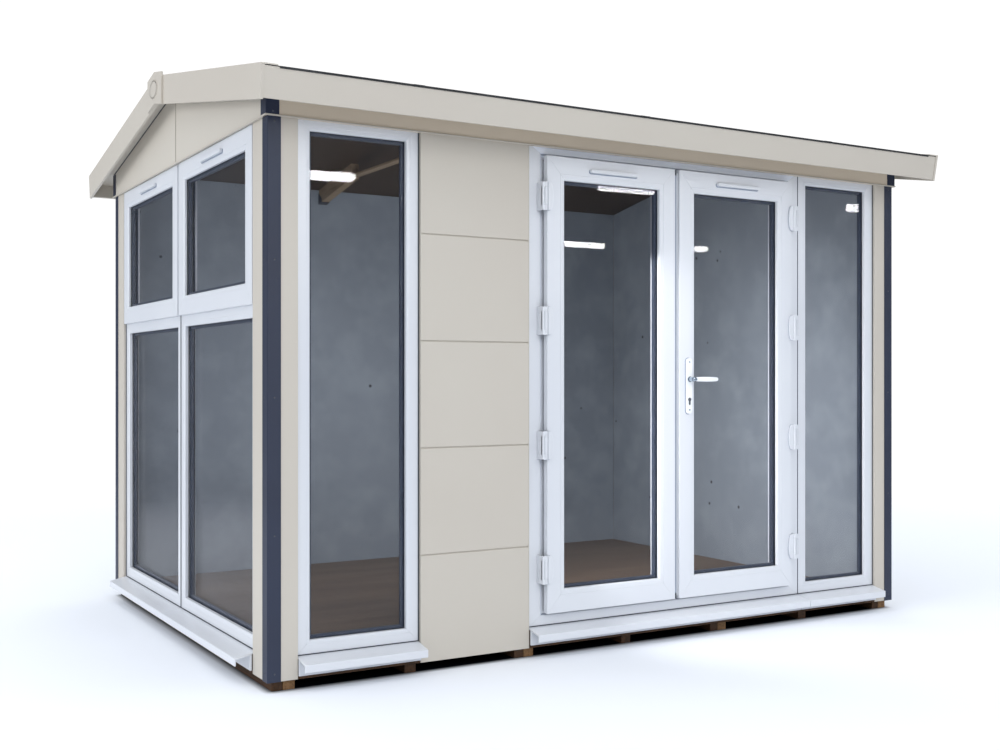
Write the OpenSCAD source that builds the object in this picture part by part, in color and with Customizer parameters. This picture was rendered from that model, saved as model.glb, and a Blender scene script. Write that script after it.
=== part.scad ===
// Garden office pod: a low-pitch insulated garden room on timber bearers.
// Inside this file x runs along the front wall from its left corner, y runs from the
// front wall into the depth, and z is up from the foot of the walls. place() then moves
// everything so that the origin is the middle of the plan, at the ground.

/* [Overall] */
// Length of the front wall
wall_l = 3260; // [3000:10:4000]
// Depth from front wall to back wall
wall_d = 2340; // [2000:10:3000]
// Height of the walls up to the header band
wall_h = 2070; // [1800:10:2500]
// Height that the bearers lift the walls off the ground
bearer_h = 38; // [30:1:100]

/* [Walls] */
// Thickness of the wall panels
wall_t = 44; // [36:1:60]
// Thickness of the inner lining boards
lining_t = 6; // [4:1:12]
// Width of the plain wall at each end of the front
corner_w = 117; // [90:1:160]
// Width of the plain wall at each end of the glazed gable
gable_corner_w = 165; // [120:1:240]
// Height of one cladding board
board_h = 419; // [300:1:520]
// Width and depth of the groove between cladding boards
groove = 5; // [3:1:8]
// Height of the floor above the foot of the walls
floor_h = 46; // [30:1:70]
// How far the header band stands proud of the walls
header_proud = 10; // [6:1:16]
// Gap left at joints between neighbouring boards, frames and sills
joint_gap = 2; // [1:0.5:4]
// Leg of the corner angle trims
trim_leg = 50; // [36:1:70]
// Thickness of the corner angle trims
trim_t = 3; // [2:0.5:5]

/* [Roof] */
// Pitch of the roof in degrees
pitch = 10.24; // [6:0.01:14]
// Height of the barge boards' eave edge above the foot of the header band
eave_rise = 134; // [80:1:260]
// Overhang of the roof beyond the front and back walls
eaves_over = 205; // [120:5:300]
// Overhang of the roof beyond the gables
gable_over = 96; // [70:1:160]
// Vertical thickness of the roof panels
roof_t = 45; // [36:1:70]
// Depth of the fascia boards, square to the slope
fascia_h = 112; // [90:1:160]
// Thickness of the fascia boards
fascia_t = 15; // [10:1:22]
// Depth of the barge boards, square to the slope
barge_h = 125; // [100:1:180]
// Thickness of the barge boards
barge_t = 12; // [8:1:20]
// Width of the barge capping that turns over the roof
cap_w = 60; // [40:1:80]
// Width of the plate over the ridge end of the barge boards
finial_w = 226; // [160:2:300]
// Width of the rafters and of the tie between them
rafter_w = 45; // [36:1:60]
// Depth of the rafters below the ceiling
rafter_h = 80; // [60:1:120]
// Length of each rafter from its wall, in plan
rafter_l = 461; // [300:1:700]
// Thickness of the tie
tie_t = 12; // [8:1:24]

/* [Windows] */
// Width of the tall front window and of the sidelight
window_w = 504; // [400:1:640]
// Height of the underside of the frames above the foot of the walls
sill_z = 83; // [75:1:110]
// Face width of the outer frame with its glazing bead
frame_w = 53; // [48:1:80]
// Depth of the outer frames
frame_d = 50; // [45:1:70]
// How far the frames sit back from the face of the walls
reveal = 15; // [12:1:20]
// Distance from a frame's face to its glass
glass_set = 20; // [14:1:24]
// Thickness of the sealed glass units
glass_t = 24; // [20:1:28]
// Height of the foot of the gable opening sashes
sash_z = 1390; // [1100:10:1600]
// Face width of the gable sashes
sash_w = 84; // [64:1:100]

/* [Doors] */
// Width of the cladding panel left of the doors
panel_w = 500; // [300:10:700]
// Face width of the door frame beside the leaves
door_frame_w = 64; // [50:1:80]
// Gap between the faces of the two leaves
meeting_gap = 24; // [20:1:30]
// How far the leaves stand proud of the wall
leaf_proud = 20; // [16:1:30]
// Thickness of the leaf that overlaps the frame
leaf_flange = 30; // [24:1:32]
// Face width of the upright leaf members
stile_w = 86; // [70:1:110]
// Face width of the level leaf members
rail_w = 98; // [80:1:120]
// Height of the hinges
hinge_h = 116; // [90:2:140]
// Height of the lever above the foot of the walls
lever_z = 1106; // [900:1:1200]
// Length of the lever from its spindle
lever_l = 134; // [100:1:150]

/* [Hidden] */
$fn = 48;

past = 1;                       // how far a cut runs past the face it opens
slope = tan(pitch);
eave_z = wall_h + eave_rise;
covering_t = 3;
cap_t = 5;
under_roof = cap_t + covering_t + roof_t;
under_ceiling = under_roof + lining_t;
seat = 0.05;                    // play between sloping faces that lie on each other
mid_y = wall_d / 2;
inner = wall_t + lining_t;

// Height of the barge boards' top edge at depth y, on either slope
function roof_z(y) = eave_z + slope * (min(y, wall_d - y) + eaves_over);

// Layout along the front wall, from left to right
win_x0 = corner_w;
win_x1 = win_x0 + window_w;
panel_x0 = win_x1 + joint_gap;
panel_x1 = panel_x0 + panel_w;
side_x1 = wall_l - corner_w;
side_x0 = side_x1 - window_w;
door_x0 = panel_x1 + joint_gap;
door_x1 = side_x0 - joint_gap;
door_mid = (door_x0 + door_x1) / 2;
gable_y0 = gable_corner_w;
gable_y1 = wall_d - gable_corner_w;

// Frames
lip_back = 16;                  // the header's lip hangs this far in front of the frames
frame_top = wall_h + lip_back;
frame_back = reveal + frame_d;
bite = 8;                       // how far the glass reaches into its frame
glass_play = 0.5;
carcass_w = frame_w - bite - 1;   // frame width where a sash closes into it
transom_below = 49;             // the transom reaches this far below a sash's foot, and then above
transom_above = 11;
transom_z0 = sash_z - transom_below;
transom_z1 = sash_z + transom_above;
sash_margin = 10;
sash_top = wall_h - joint_gap;
sash_seat = 0.3;
sash_glass_y = glass_set - 4;   // a sash's glass sits closer to the face

// Doors
leaf_margin = 9;                // gap round a leaf's face
leaf_w = (door_x1 - door_x0 - 2 * (door_frame_w + leaf_margin) - meeting_gap) / 2;
leaf_x0 = door_x0 + door_frame_w + leaf_margin;
leaf_x1 = leaf_x0 + leaf_w;
door_rail_w = 44;
leaf_z0 = sill_z + door_rail_w + leaf_margin;
leaf_z1 = frame_top - door_rail_w - leaf_margin;
leaf_step = 13;                 // how far the leaf's core sits in from its face edge
core_gap = 6;
stop_over = leaf_margin + leaf_step - core_gap;
stop_back = 9;                  // the frame's stop sits this far behind its face
leaf_front = -leaf_proud;
leaf_mid = leaf_front + leaf_flange;
leaf_back = leaf_mid + 36;
strip_w = 14;

// Hinges: the pivot stands outboard of the leaf's edge and in front of its face
pivot_x = leaf_x0 - 12;
pivot_y = leaf_front - 6;
knuckle_r = 9;
pin_r = 4;
pin_play = 0.3;
hinge_end = 20;                 // height of each fixed knuckle
hinge_count = 4;
hinge_from_foot = 184;
hinge_from_head = 171;
hinge_low = leaf_z0 + hinge_from_foot;
hinge_step = (leaf_z1 - hinge_from_head - hinge_low) / (hinge_count - 1);

// Handle
handle_in = 51;                 // from the leaf's free edge
handle_x = 2 * door_mid - leaf_x1 + handle_in;
plate_w = 32;
plate_h = 248;
plate_t = 8;
spindle_r = 5;
spindle_hole_r = 8;

module place() translate([-wall_l / 2, -wall_d / 2, bearer_h]) children();

module block(a, b) translate(a) cube(b - a);

// A profile drawn in y and z, run along x from x0 to x1
module along_x(x0, x1)
    translate([x0, 0, 0]) rotate([90, 0, 90]) linear_extrude(x1 - x0) children();

// A profile drawn in x and z, given a thickness from y0 to y1
module along_y(y0, y1)
    translate([0, y1, 0]) rotate([90, 0, 0]) linear_extrude(y1 - y0) children();

// Pieces of the glazed gable are drawn as if on the front wall, then turned onto the gable
module on_gable() mirror([1, -1, 0]) children();

module both_slopes() {
    children();
    translate([0, wall_d, 0]) mirror([0, 1, 0]) children();
}

module both_ends() {
    children();
    translate([wall_l, 0, 0]) mirror([1, 0, 0]) children();
}

// The right leaf's pieces are the left leaf's, mirrored about the middle of the doorway
module on_right_leaf() translate([2 * door_mid, 0, 0]) mirror([1, 0, 0]) children();

// A square ring in the plane of a wall, with its own side, foot and head widths
module ring(x0, x1, z0, z1, y0, y1, side, foot, head) difference() {
    block([x0, y0, z0], [x1, y1, z1]);
    block([x0 + side, y0 - past, z0 + foot], [x1 - side, y1 + past, z1 - head]);
}

// The space that a glass unit takes in its frame, and the unit itself with play = glass_play
module glass(x0, x1, z0, z1, side, foot, head, y0, play = 0)
    block([x0 + side - bite + play, y0 + play, z0 + foot - bite + play],
          [x1 - side + bite - play, y0 + glass_t - play, z1 - head + bite - play]);

module bearers() {
    single_w = 47;
    double_w = 90;
    count = 7;
    first_x = 22;
    pitch_x = (wall_l - 2 * first_x - double_w) / (count - 1);
    set_back = 22;
    color("saddlebrown") place()
        for (i = [0 : count - 1]) {
            w = i % 2 == 0 ? double_w : single_w;
            x = first_x + double_w / 2 + i * pitch_x - w / 2;
            block([x, set_back, -bearer_h], [x + w, wall_d - set_back, 0]);
        }
}

module floor_deck() color("dimgray") place()
    block([wall_t, wall_t, 0], [wall_l - inner, wall_d - inner, floor_h]);

// Rails under the glazing, which carry the sills
base_z = sill_z - 9;
module base_rails() color("burlywood") place() {
    block([win_x0, 0, 0], [win_x1, wall_t, base_z]);
    block([door_x0, 0, 0], [side_x1, wall_t, base_z]);
    on_gable() block([gable_y0, 0, 0], [gable_y1, wall_t, base_z]);
}

module back_wall() color("antiquewhite") place()
    along_x(0, wall_l) polygon([
        [wall_d - wall_t, 0], [wall_d, 0], [wall_d, roof_z(wall_d) - under_roof],
        [wall_d - wall_t, roof_z(wall_d - wall_t) - under_roof]]);

module right_end_wall() color("antiquewhite") place()
    along_x(wall_l - wall_t, wall_l) polygon([
        [wall_t, 0], [wall_d - wall_t, 0], [wall_d - wall_t, roof_z(wall_t) - under_roof],
        [mid_y, roof_z(mid_y) - under_roof], [wall_t, roof_z(wall_t) - under_roof]]);

module front_wall_ends() color("antiquewhite") place() {
    block([0, 0, 0], [win_x0, wall_t, wall_h]);
    block([side_x1, 0, 0], [wall_l, wall_t, wall_h]);
}

module cladding_panel() color("antiquewhite") place() difference() {
    block([panel_x0, 0, 0], [panel_x1, wall_t, wall_h]);
    for (z = [board_h : board_h : wall_h - groove])
        block([panel_x0 - past, -past, z - groove / 2], [panel_x1 + past, groove, z + groove / 2]);
}

module gable_wall_ends() color("antiquewhite") place() {
    block([0, wall_t, 0], [wall_t, gable_y0, wall_h]);
    block([0, gable_y1, 0], [wall_t, wall_d - wall_t, wall_h]);
}

module wall_linings() color("slategray") place() {
    lining_top = under_ceiling + joint_gap;
    along_x(wall_t, wall_l - inner) polygon([
        [wall_d - inner, floor_h], [wall_d - wall_t, floor_h],
        [wall_d - wall_t, roof_z(wall_t) - lining_top],
        [wall_d - inner, roof_z(inner) - lining_top]]);
    along_x(wall_l - inner + 1, wall_l - wall_t) polygon([
        [wall_t, floor_h], [wall_d - inner, floor_h],
        [wall_d - inner, roof_z(inner) - lining_top],
        [mid_y, roof_z(mid_y) - lining_top], [wall_t, roof_z(wall_t) - lining_top]]);
    block([panel_x0, wall_t, floor_h], [panel_x1, inner, wall_h]);
}

// The header's lip hangs in front of the frames, and its core bears on them
module header_front() color("antiquewhite") place()
    along_x(-header_proud, wall_l + header_proud) polygon([
        [-header_proud, wall_h], [reveal, wall_h], [reveal, frame_top], [wall_t, frame_top],
        [wall_t, roof_z(wall_t) - under_roof], [-header_proud, roof_z(-header_proud) - under_roof]]);

module header_back() color("antiquewhite") place()
    along_x(-header_proud, wall_l + header_proud) polygon([
        [wall_d, wall_h], [wall_d + header_proud, wall_h],
        [wall_d + header_proud, roof_z(wall_d + header_proud) - under_roof],
        [wall_d, roof_z(wall_d) - under_roof]]);

// One half of a gable above the windows, between depths y0 and y1, from height z0
module gable_half(y0, y1, z0)
    polygon([[y0, z0], [y1, z0], [y1, roof_z(y1) - under_roof], [y0, roof_z(y0) - under_roof]]);

module gable_headers() color("antiquewhite") place() {
    joint = joint_gap / 2;
    along_x(-header_proud, reveal) gable_half(wall_t, mid_y - joint, wall_h);
    along_x(reveal, wall_t) gable_half(wall_t, mid_y - joint, frame_top);
    along_x(-header_proud, reveal) gable_half(mid_y + joint, wall_d - wall_t, wall_h);
    along_x(reveal, wall_t) gable_half(mid_y + joint, wall_d - wall_t, frame_top);
    along_x(-header_proud, 0) gable_half(wall_d - wall_t, wall_d, wall_h);
}

module end_headers() color("antiquewhite") place() {
    joint = joint_gap / 2;
    along_x(wall_l, wall_l + header_proud) gable_half(wall_t, mid_y - joint, wall_h);
    along_x(wall_l, wall_l + header_proud) gable_half(mid_y + joint, wall_d, wall_h);
}

// An angle trim on the corner at (0, 0), standing out by its own thickness
module angle_trim(z0, z1) {
    block([-trim_t, -trim_t, z0], [trim_leg, 0, z1]);
    block([-trim_t, -trim_t, z0], [0, trim_leg, z1]);
}

module corner_trims() color("darkslateblue") place()
    both_ends() both_slopes() angle_trim(0, wall_h - joint_gap);

module header_trims() color("darkslateblue") place()
    both_ends() both_slopes()
        translate([-header_proud, -header_proud, 0])
            angle_trim(wall_h + joint_gap, roof_z(-header_proud - trim_t) - under_roof - joint_gap);

// Corners of a roof board in y and z: the fascia's outer top edge, and steps square to and
// along the slope from there
fascia_y = -eaves_over;
fascia_z = roof_z(fascia_y) - cap_t - covering_t - seat;
function from_eave(down, along) = [
    fascia_y + down * sin(pitch) + along * cos(pitch),
    fascia_z - down * cos(pitch) + along * sin(pitch)];

module roof_panel() along_x(barge_t - gable_over, wall_l + gable_over - barge_t)
    polygon([from_eave(0, fascia_t + seat),
        from_eave((roof_t - 2 * seat) * cos(pitch), fascia_t + seat),
        [mid_y, roof_z(mid_y) - under_roof + seat],
        [mid_y, roof_z(mid_y) - cap_t - covering_t - seat]]);

module roof_panel_front() color("wheat") place() roof_panel();

module roof_panel_back() color("wheat") place()
    translate([0, wall_d, 0]) mirror([0, 1, 0]) roof_panel();

module roof_covering() color("black") place()
    along_x(barge_t - gable_over, wall_l + gable_over - barge_t) {
        y0 = fascia_y - 1;
        polygon([[y0, roof_z(y0) - cap_t - covering_t], [mid_y, roof_z(mid_y) - cap_t - covering_t],
            [wall_d - y0, roof_z(y0) - cap_t - covering_t], [wall_d - y0, roof_z(y0) - cap_t],
            [mid_y, roof_z(mid_y) - cap_t], [y0, roof_z(y0) - cap_t]]);
    }

module ceiling_linings() color("saddlebrown") place() both_slopes() {
    y1 = mid_y - 1;
    along_x(wall_t, wall_l - wall_t) polygon([
        [wall_t, roof_z(wall_t) - under_ceiling], [y1, roof_z(y1) - under_ceiling],
        [y1, roof_z(y1) - under_roof], [wall_t, roof_z(wall_t) - under_roof]]);
}

module fascias() color("antiquewhite") place() both_slopes()
    along_x(barge_t - gable_over, wall_l + gable_over - barge_t)
        polygon([from_eave(0, 0), from_eave(fascia_h, 0), from_eave(fascia_h, fascia_t),
            from_eave(0, fascia_t)]);

// A barge board with the capping that turns over the edge of the roof
module barge_board() {
    y0 = fascia_y - 4;
    y1 = mid_y - 1;
    x0 = -gable_over;
    along_x(x0, x0 + barge_t) polygon([
        [y0, roof_z(y0)], [y0 + barge_h * sin(pitch), roof_z(y0) - barge_h * cos(pitch)],
        [y1, roof_z(y1) - barge_h / cos(pitch)], [y1, roof_z(y1)]]);
    along_x(x0, x0 + cap_w) polygon([
        [y0, roof_z(y0) - cap_t + seat], [y1, roof_z(y1) - cap_t + seat],
        [y1, roof_z(y1)], [y0, roof_z(y0)]]);
}

module barge_boards() color("antiquewhite") place() both_ends() both_slopes() barge_board();

// The plate that covers the ridge joint of the barge boards, with a plain oval boss
module ridge_plate() {
    plate_x = -gable_over;
    rise = 14;
    half = finial_w / 2;
    boss_w = 120;
    boss_h = 80;
    boss_z = roof_z(mid_y) - 64;
    along_x(plate_x - 10, plate_x) polygon([
        [mid_y - half, roof_z(mid_y - half) + rise], [mid_y, roof_z(mid_y) + rise],
        [mid_y + half, roof_z(mid_y + half) + rise],
        [mid_y + half, roof_z(mid_y + half) - barge_h / cos(pitch)],
        [mid_y, roof_z(mid_y) - barge_h / cos(pitch)],
        [mid_y - half, roof_z(mid_y - half) - barge_h / cos(pitch)]]);
    along_x(plate_x - 14, plate_x - 10) polygon([for (a = [0 : 10 : 350])
        [mid_y + boss_w / 2 * cos(a), boss_z + boss_h / 2 * sin(a)]]);
}

module ridge_plates() color("antiquewhite") place() both_ends() ridge_plate();

// Two short rafters and the level tie between their ends, over the joint between the
// cladding panel and the door frame
rafter_x = panel_x1 + 5;
module rafters() color("burlywood") place() {
    y1 = inner + rafter_l;
    rafter_top = under_ceiling + seat;
    foot0 = roof_z(inner) - under_ceiling - rafter_h;
    foot1 = roof_z(y1) - under_ceiling - rafter_h;
    tie_z = foot1 + 8;
    along_x(rafter_x, rafter_x + rafter_w) polygon([
        [inner, roof_z(inner) - rafter_top], [inner, foot0], [y1, foot1], [y1, tie_z],
        [wall_d - y1, tie_z], [wall_d - y1, foot1], [wall_d - inner, foot0],
        [wall_d - inner, roof_z(inner) - rafter_top], [wall_d - y1, roof_z(y1) - rafter_top],
        [wall_d - y1, tie_z + tie_t], [y1, tie_z + tie_t], [y1, roof_z(y1) - rafter_top]]);
}

module rafter_hangers() color("dimgray") place() both_slopes() {
    reach = 42;
    metal = 3;
    y1 = inner + reach;
    foot0 = roof_z(inner) - under_ceiling - rafter_h;
    foot1 = roof_z(y1) - under_ceiling - rafter_h;
    along_x(rafter_x - metal, rafter_x + rafter_w + metal) polygon([
        [inner, foot0 - metal], [y1, foot1 - metal], [y1, foot1], [inner, foot0]]);
    for (x = [rafter_x - metal, rafter_x + rafter_w])
        along_x(x, x + metal) polygon([
            [inner, foot0 - metal], [y1, foot1 - metal], [y1, foot1 + 20], [inner, foot0 + 62]]);
}

// The sill's section: a sloping top with a nose, and an apron against the base rail
sill_out = 70;
module sill_section() {
    skin = 8;
    nose_z = sill_z - 18;
    nose_h = 30;
    apron_z = 12;
    fall = (sill_z - nose_z) / (sill_out + reveal);
    polygon([
        [-frame_back + 5, base_z], [-frame_back + 5, sill_z], [-reveal, sill_z], [sill_out, nose_z],
        [sill_out, nose_z - nose_h], [sill_out - 6, nose_z - nose_h],
        [sill_out - 6, nose_z - skin + 6 * fall], [10, sill_z - skin - (10 + reveal) * fall],
        [10, apron_z], [2, apron_z], [2, base_z]]);
}

// A length of sill under the front wall from x0 to x1
module sill(x0, x1) along_x(x0, x1) mirror([1, 0, 0]) sill_section();

module gable_sills() color("whitesmoke") place() on_gable() {
    sill(gable_y0, mid_y - joint_gap / 2);
    sill(mid_y + joint_gap / 2, gable_y1);
}

module window_sill() color("whitesmoke") place() sill(win_x0, win_x1);

module door_sills() color("whitesmoke") place() {
    sill(door_x0, door_x1);
    sill(side_x0, side_x1);
}

// A fixed light between x0 and x1: its frame with the groove that holds the glass
module fixed_frame(x0, x1) difference() {
    ring(x0, x1, sill_z, frame_top, reveal, frame_back, frame_w, frame_w, frame_w);
    glass(x0, x1, sill_z, frame_top, frame_w, frame_w, frame_w, reveal + glass_set);
}

module window_frame() color("whitesmoke") place() fixed_frame(win_x0, win_x1);

module sidelight_frame() color("whitesmoke") place() fixed_frame(side_x0, side_x1);

module front_glass() color("lightblue") place() {
    for (x = [[win_x0, win_x1], [side_x0, side_x1]])
        glass(x[0], x[1], sill_z, frame_top, frame_w, frame_w, frame_w,
            reveal + glass_set, glass_play);
}

module door_frame() color("whitesmoke") place() {
    ring(door_x0, door_x1, sill_z, frame_top, reveal, frame_back,
        door_frame_w, door_rail_w, door_rail_w);
    ring(door_x0 + door_frame_w - past, door_x1 - door_frame_w + past,
        sill_z + door_rail_w - past, frame_top - door_rail_w + past, reveal + stop_back, frame_back,
        stop_over + past, stop_over + past, stop_over + past);
}

// The two gable frames meet at the middle of the gable
module each_gable_frame() {
    half_w = (gable_y1 - gable_y0 - joint_gap) / 2;
    for (y0 = [gable_y0, gable_y1 - half_w])
        translate([y0, 0, 0]) gable_span(half_w) children();
}
module gable_span(w) {
    $span = w;
    children();
}

module gable_frames() color("whitesmoke") place() on_gable() each_gable_frame() difference() {
    block([0, reveal, sill_z], [$span, frame_back, frame_top]);
    block([frame_w, 0, sill_z + frame_w], [$span - frame_w, frame_back + past, transom_z0]);
    glass(0, $span, sill_z, transom_z0, frame_w, frame_w, 0, reveal + glass_set);
    block([carcass_w, 0, transom_z1], [$span - carcass_w, frame_back + past, frame_top - carcass_w]);
}

// A top-hung sash: its face laps the frame and its core stands inside it
module gable_sashes() color("whitesmoke") place() on_gable() each_gable_frame() difference() {
    core_x = carcass_w + joint_gap;
    union() {
        block([sash_margin, 0, sash_z], [$span - sash_margin, reveal - sash_seat, sash_top]);
        block([core_x, 0, transom_z1 + joint_gap],
              [$span - core_x, frame_back - 5, frame_top - core_x]);
    }
    block([sash_margin + sash_w, -past, sash_z + sash_w],
          [$span - sash_margin - sash_w, frame_back, sash_top - sash_w]);
    glass(sash_margin, $span - sash_margin, sash_z, sash_top, sash_w, sash_w, sash_w,
        sash_glass_y);
}

module gable_glass() color("lightblue") place() on_gable() each_gable_frame() {
    glass(0, $span, sill_z, transom_z0, frame_w, frame_w, 0, reveal + glass_set, glass_play);
    glass(sash_margin, $span - sash_margin, sash_z, sash_top, sash_w, sash_w, sash_w,
        sash_glass_y, glass_play);
}

// A round-ended ventilator centred at x and z, standing out from the plane y
module ventilator(x, z, y, length) {
    stand = 14;
    r = 9;
    block([x - length / 2 + r, y - stand, z - r], [x + length / 2 - r, y, z + r]);
    for (end_x = [x - length / 2 + r, x + length / 2 - r])
        translate([end_x, y, z]) rotate([90, 0, 0]) cylinder(h = stand, r = r);
}

module gable_vents() color("white") place() on_gable() each_gable_frame()
    ventilator($span / 2, sash_top - sash_w / 2, 0, 285);

// Leaf: a face that laps the frame's stop, a core inside the frame, and the glass opening
module leaf() difference() {
    union() {
        block([leaf_x0, leaf_front, leaf_z0], [leaf_x1, leaf_mid, leaf_z1]);
        block([leaf_x0 + leaf_step, leaf_front, leaf_z0 + leaf_step],
              [leaf_x1 - leaf_step, leaf_back, leaf_z1 - leaf_step]);
    }
    block([leaf_x0 + stile_w, leaf_front - past, leaf_z0 + rail_w],
          [leaf_x1 - stile_w, leaf_back + past, leaf_z1 - rail_w]);
    leaf_glass(0);
}

module leaf_glass(play)
    glass(leaf_x0, leaf_x1, leaf_z0, leaf_z1, stile_w, rail_w, rail_w,
        leaf_front + glass_set, play);

module left_door() color("whitesmoke") place() leaf();

module right_door() color("whitesmoke") place() difference() {
    on_right_leaf() leaf();
    translate([handle_x, leaf_front - past, lever_z]) rotate([-90, 0, 0])
        cylinder(h = leaf_back - leaf_front + 2 * past, r = spindle_hole_r);
}

module left_door_glass() color("lightblue") place() leaf_glass(glass_play);

module right_door_glass() color("lightblue") place() on_right_leaf() leaf_glass(glass_play);

module leaf_vent() ventilator((leaf_x0 + leaf_x1) / 2, leaf_z1 - rail_w / 2, leaf_front, 250);

module left_door_vent() color("white") place() leaf_vent();

module right_door_vent() color("white") place() on_right_leaf() leaf_vent();

// The strip on the right leaf's edge that covers most of the gap between the leaves
module meeting_strip() color("whitesmoke") place() {
    x1 = 2 * door_mid - leaf_x1;
    block([x1 - strip_w, leaf_front + 12, leaf_z0 + leaf_step],
          [x1, leaf_mid, leaf_z1 - leaf_step]);
    block([x1 - strip_w, leaf_mid, leaf_z0 + leaf_step],
          [x1 + leaf_step, leaf_back - 6, leaf_z1 - leaf_step]);
}

// Fixed part of a hinge: a back plate on the frame, two end knuckles and the pin
module hinge_frame_part(z) {
    plate_x = pivot_x - knuckle_r - 9;
    low = z - hinge_h / 2;
    block([plate_x, pivot_y, low], [plate_x + 8, reveal, low + hinge_h]);
    for (end_z = [low, low + hinge_h - hinge_end]) {
        translate([pivot_x, pivot_y, end_z]) cylinder(h = hinge_end, r = knuckle_r);
        block([plate_x, pivot_y - 6, end_z], [pivot_x, pivot_y + 8, end_z + hinge_end]);
    }
    translate([pivot_x, pivot_y, low]) cylinder(h = hinge_h, r = pin_r);
}

// Moving part of a hinge: the sleeve on the pin, and a flag with a bowed edge on the leaf
module hinge_leaf_part(z) {
    sleeve_h = hinge_h - 2 * hinge_end - 1;
    flag_x = leaf_x0 + 2;
    bow = 15;
    difference() {
        union() {
            translate([pivot_x, pivot_y, z - sleeve_h / 2]) cylinder(h = sleeve_h, r = knuckle_r);
            block([pivot_x, pivot_y, z - sleeve_h / 2], [flag_x, leaf_front, z + sleeve_h / 2]);
            along_y(pivot_y, leaf_front) polygon(concat(
                [[flag_x - 0.5, z + hinge_h / 2], [flag_x - 0.5, z - hinge_h / 2]],
                [for (a = [-90 : 15 : 90])
                    [flag_x + bow * (0.35 + 0.65 * cos(a)), z + hinge_h / 2 * sin(a)]]));
        }
        translate([pivot_x, pivot_y, z - sleeve_h]) cylinder(h = 2 * sleeve_h, r = pin_r + pin_play);
    }
}

module frame_hinges() color("white") place() for (i = [0 : hinge_count - 1]) {
    hinge_frame_part(hinge_low + i * hinge_step);
    on_right_leaf() hinge_frame_part(hinge_low + i * hinge_step);
}

module left_door_hinges() color("white") place() for (i = [0 : hinge_count - 1])
    hinge_leaf_part(hinge_low + i * hinge_step);

module right_door_hinges() color("white") place() on_right_leaf() for (i = [0 : hinge_count - 1])
    hinge_leaf_part(hinge_low + i * hinge_step);

// Round-ended plates outside and inside the right leaf's free stile
module handle_plates() color("silver") place()
    for (y0 = [leaf_front - plate_t, leaf_back]) difference() {
        r = plate_w / 2;
        middle_z = lever_z - 30;
        union() {
            block([handle_x - r, y0, middle_z - plate_h / 2 + r],
                  [handle_x + r, y0 + plate_t, middle_z + plate_h / 2 - r]);
            for (z = [middle_z - plate_h / 2 + r, middle_z + plate_h / 2 - r])
                translate([handle_x, y0, z]) rotate([-90, 0, 0]) cylinder(h = plate_t, r = r);
        }
        translate([handle_x, y0 - past, lever_z]) rotate([-90, 0, 0])
            cylinder(h = plate_t + 2 * past, r = spindle_hole_r);
    }

// Levers outside and inside, joined by the spindle through the leaf
module door_lever() color("silver") place() {
    plate_play = 0.3;
    neck = 46;
    blade_t = 14;
    y_out = leaf_front - plate_t - plate_play;
    y_in = leaf_back + plate_t + plate_play;
    translate([handle_x, y_out - neck, lever_z]) rotate([-90, 0, 0])
        cylinder(h = y_in - y_out + 2 * neck, r = spindle_r);
    for (y0 = [y_out - neck, y_in]) {
        translate([handle_x, y0, lever_z]) rotate([-90, 0, 0]) cylinder(h = neck, r = 11);
        blade_y = y0 < 0 ? y0 : y0 + neck - blade_t;
        along_y(blade_y, blade_y + blade_t) polygon([
            [handle_x, lever_z - 11], [handle_x + lever_l, lever_z - 7],
            [handle_x + lever_l, lever_z + 5], [handle_x, lever_z + 11]]);
    }
}

bearers();
floor_deck();
base_rails();
back_wall();
right_end_wall();
front_wall_ends();
cladding_panel();
gable_wall_ends();
wall_linings();
header_front();
header_back();
gable_headers();
end_headers();
corner_trims();
header_trims();
roof_panel_front();
roof_panel_back();
roof_covering();
ceiling_linings();
fascias();
barge_boards();
ridge_plates();
rafters();
rafter_hangers();
gable_sills();
window_sill();
door_sills();
window_frame();
sidelight_frame();
door_frame();
gable_frames();
gable_sashes();
front_glass();
gable_glass();
gable_vents();
frame_hinges();
left_door();
right_door();
left_door_glass();
right_door_glass();
left_door_vent();
right_door_vent();
left_door_hinges();
right_door_hinges();
meeting_strip();
handle_plates();
door_lever();
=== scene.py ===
import math

import bmesh
import bpy
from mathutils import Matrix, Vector


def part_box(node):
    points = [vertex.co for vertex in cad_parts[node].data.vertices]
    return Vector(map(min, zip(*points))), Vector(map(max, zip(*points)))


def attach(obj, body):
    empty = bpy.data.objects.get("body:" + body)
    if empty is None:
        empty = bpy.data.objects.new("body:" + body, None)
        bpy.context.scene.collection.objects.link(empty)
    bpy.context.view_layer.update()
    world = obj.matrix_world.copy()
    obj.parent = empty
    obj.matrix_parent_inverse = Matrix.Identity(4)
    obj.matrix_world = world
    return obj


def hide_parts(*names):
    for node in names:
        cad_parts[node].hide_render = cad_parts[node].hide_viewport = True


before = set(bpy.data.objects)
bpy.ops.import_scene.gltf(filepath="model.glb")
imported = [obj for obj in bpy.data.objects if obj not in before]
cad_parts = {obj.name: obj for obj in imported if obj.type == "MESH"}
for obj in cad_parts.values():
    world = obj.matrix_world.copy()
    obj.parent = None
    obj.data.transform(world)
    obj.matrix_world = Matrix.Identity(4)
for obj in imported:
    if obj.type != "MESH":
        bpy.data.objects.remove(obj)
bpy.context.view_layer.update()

print("frame loaded")

# Every length below is in millimetres, and put() and rowOf() turn a finished mesh into metres.


def boxOf(node):
    low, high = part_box(node)
    return low * 1000, high * 1000


def mergedCopy(node):
    mesh = bmesh.new()
    mesh.from_mesh(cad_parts[node].data)
    bmesh.ops.scale(mesh, vec=(1000, 1000, 1000), verts=mesh.verts)
    bmesh.ops.remove_doubles(mesh, verts=mesh.verts, dist=0.02)
    bmesh.ops.dissolve_limit(mesh, angle_limit=math.radians(0.4), verts=mesh.verts, edges=mesh.edges)
    return mesh


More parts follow.
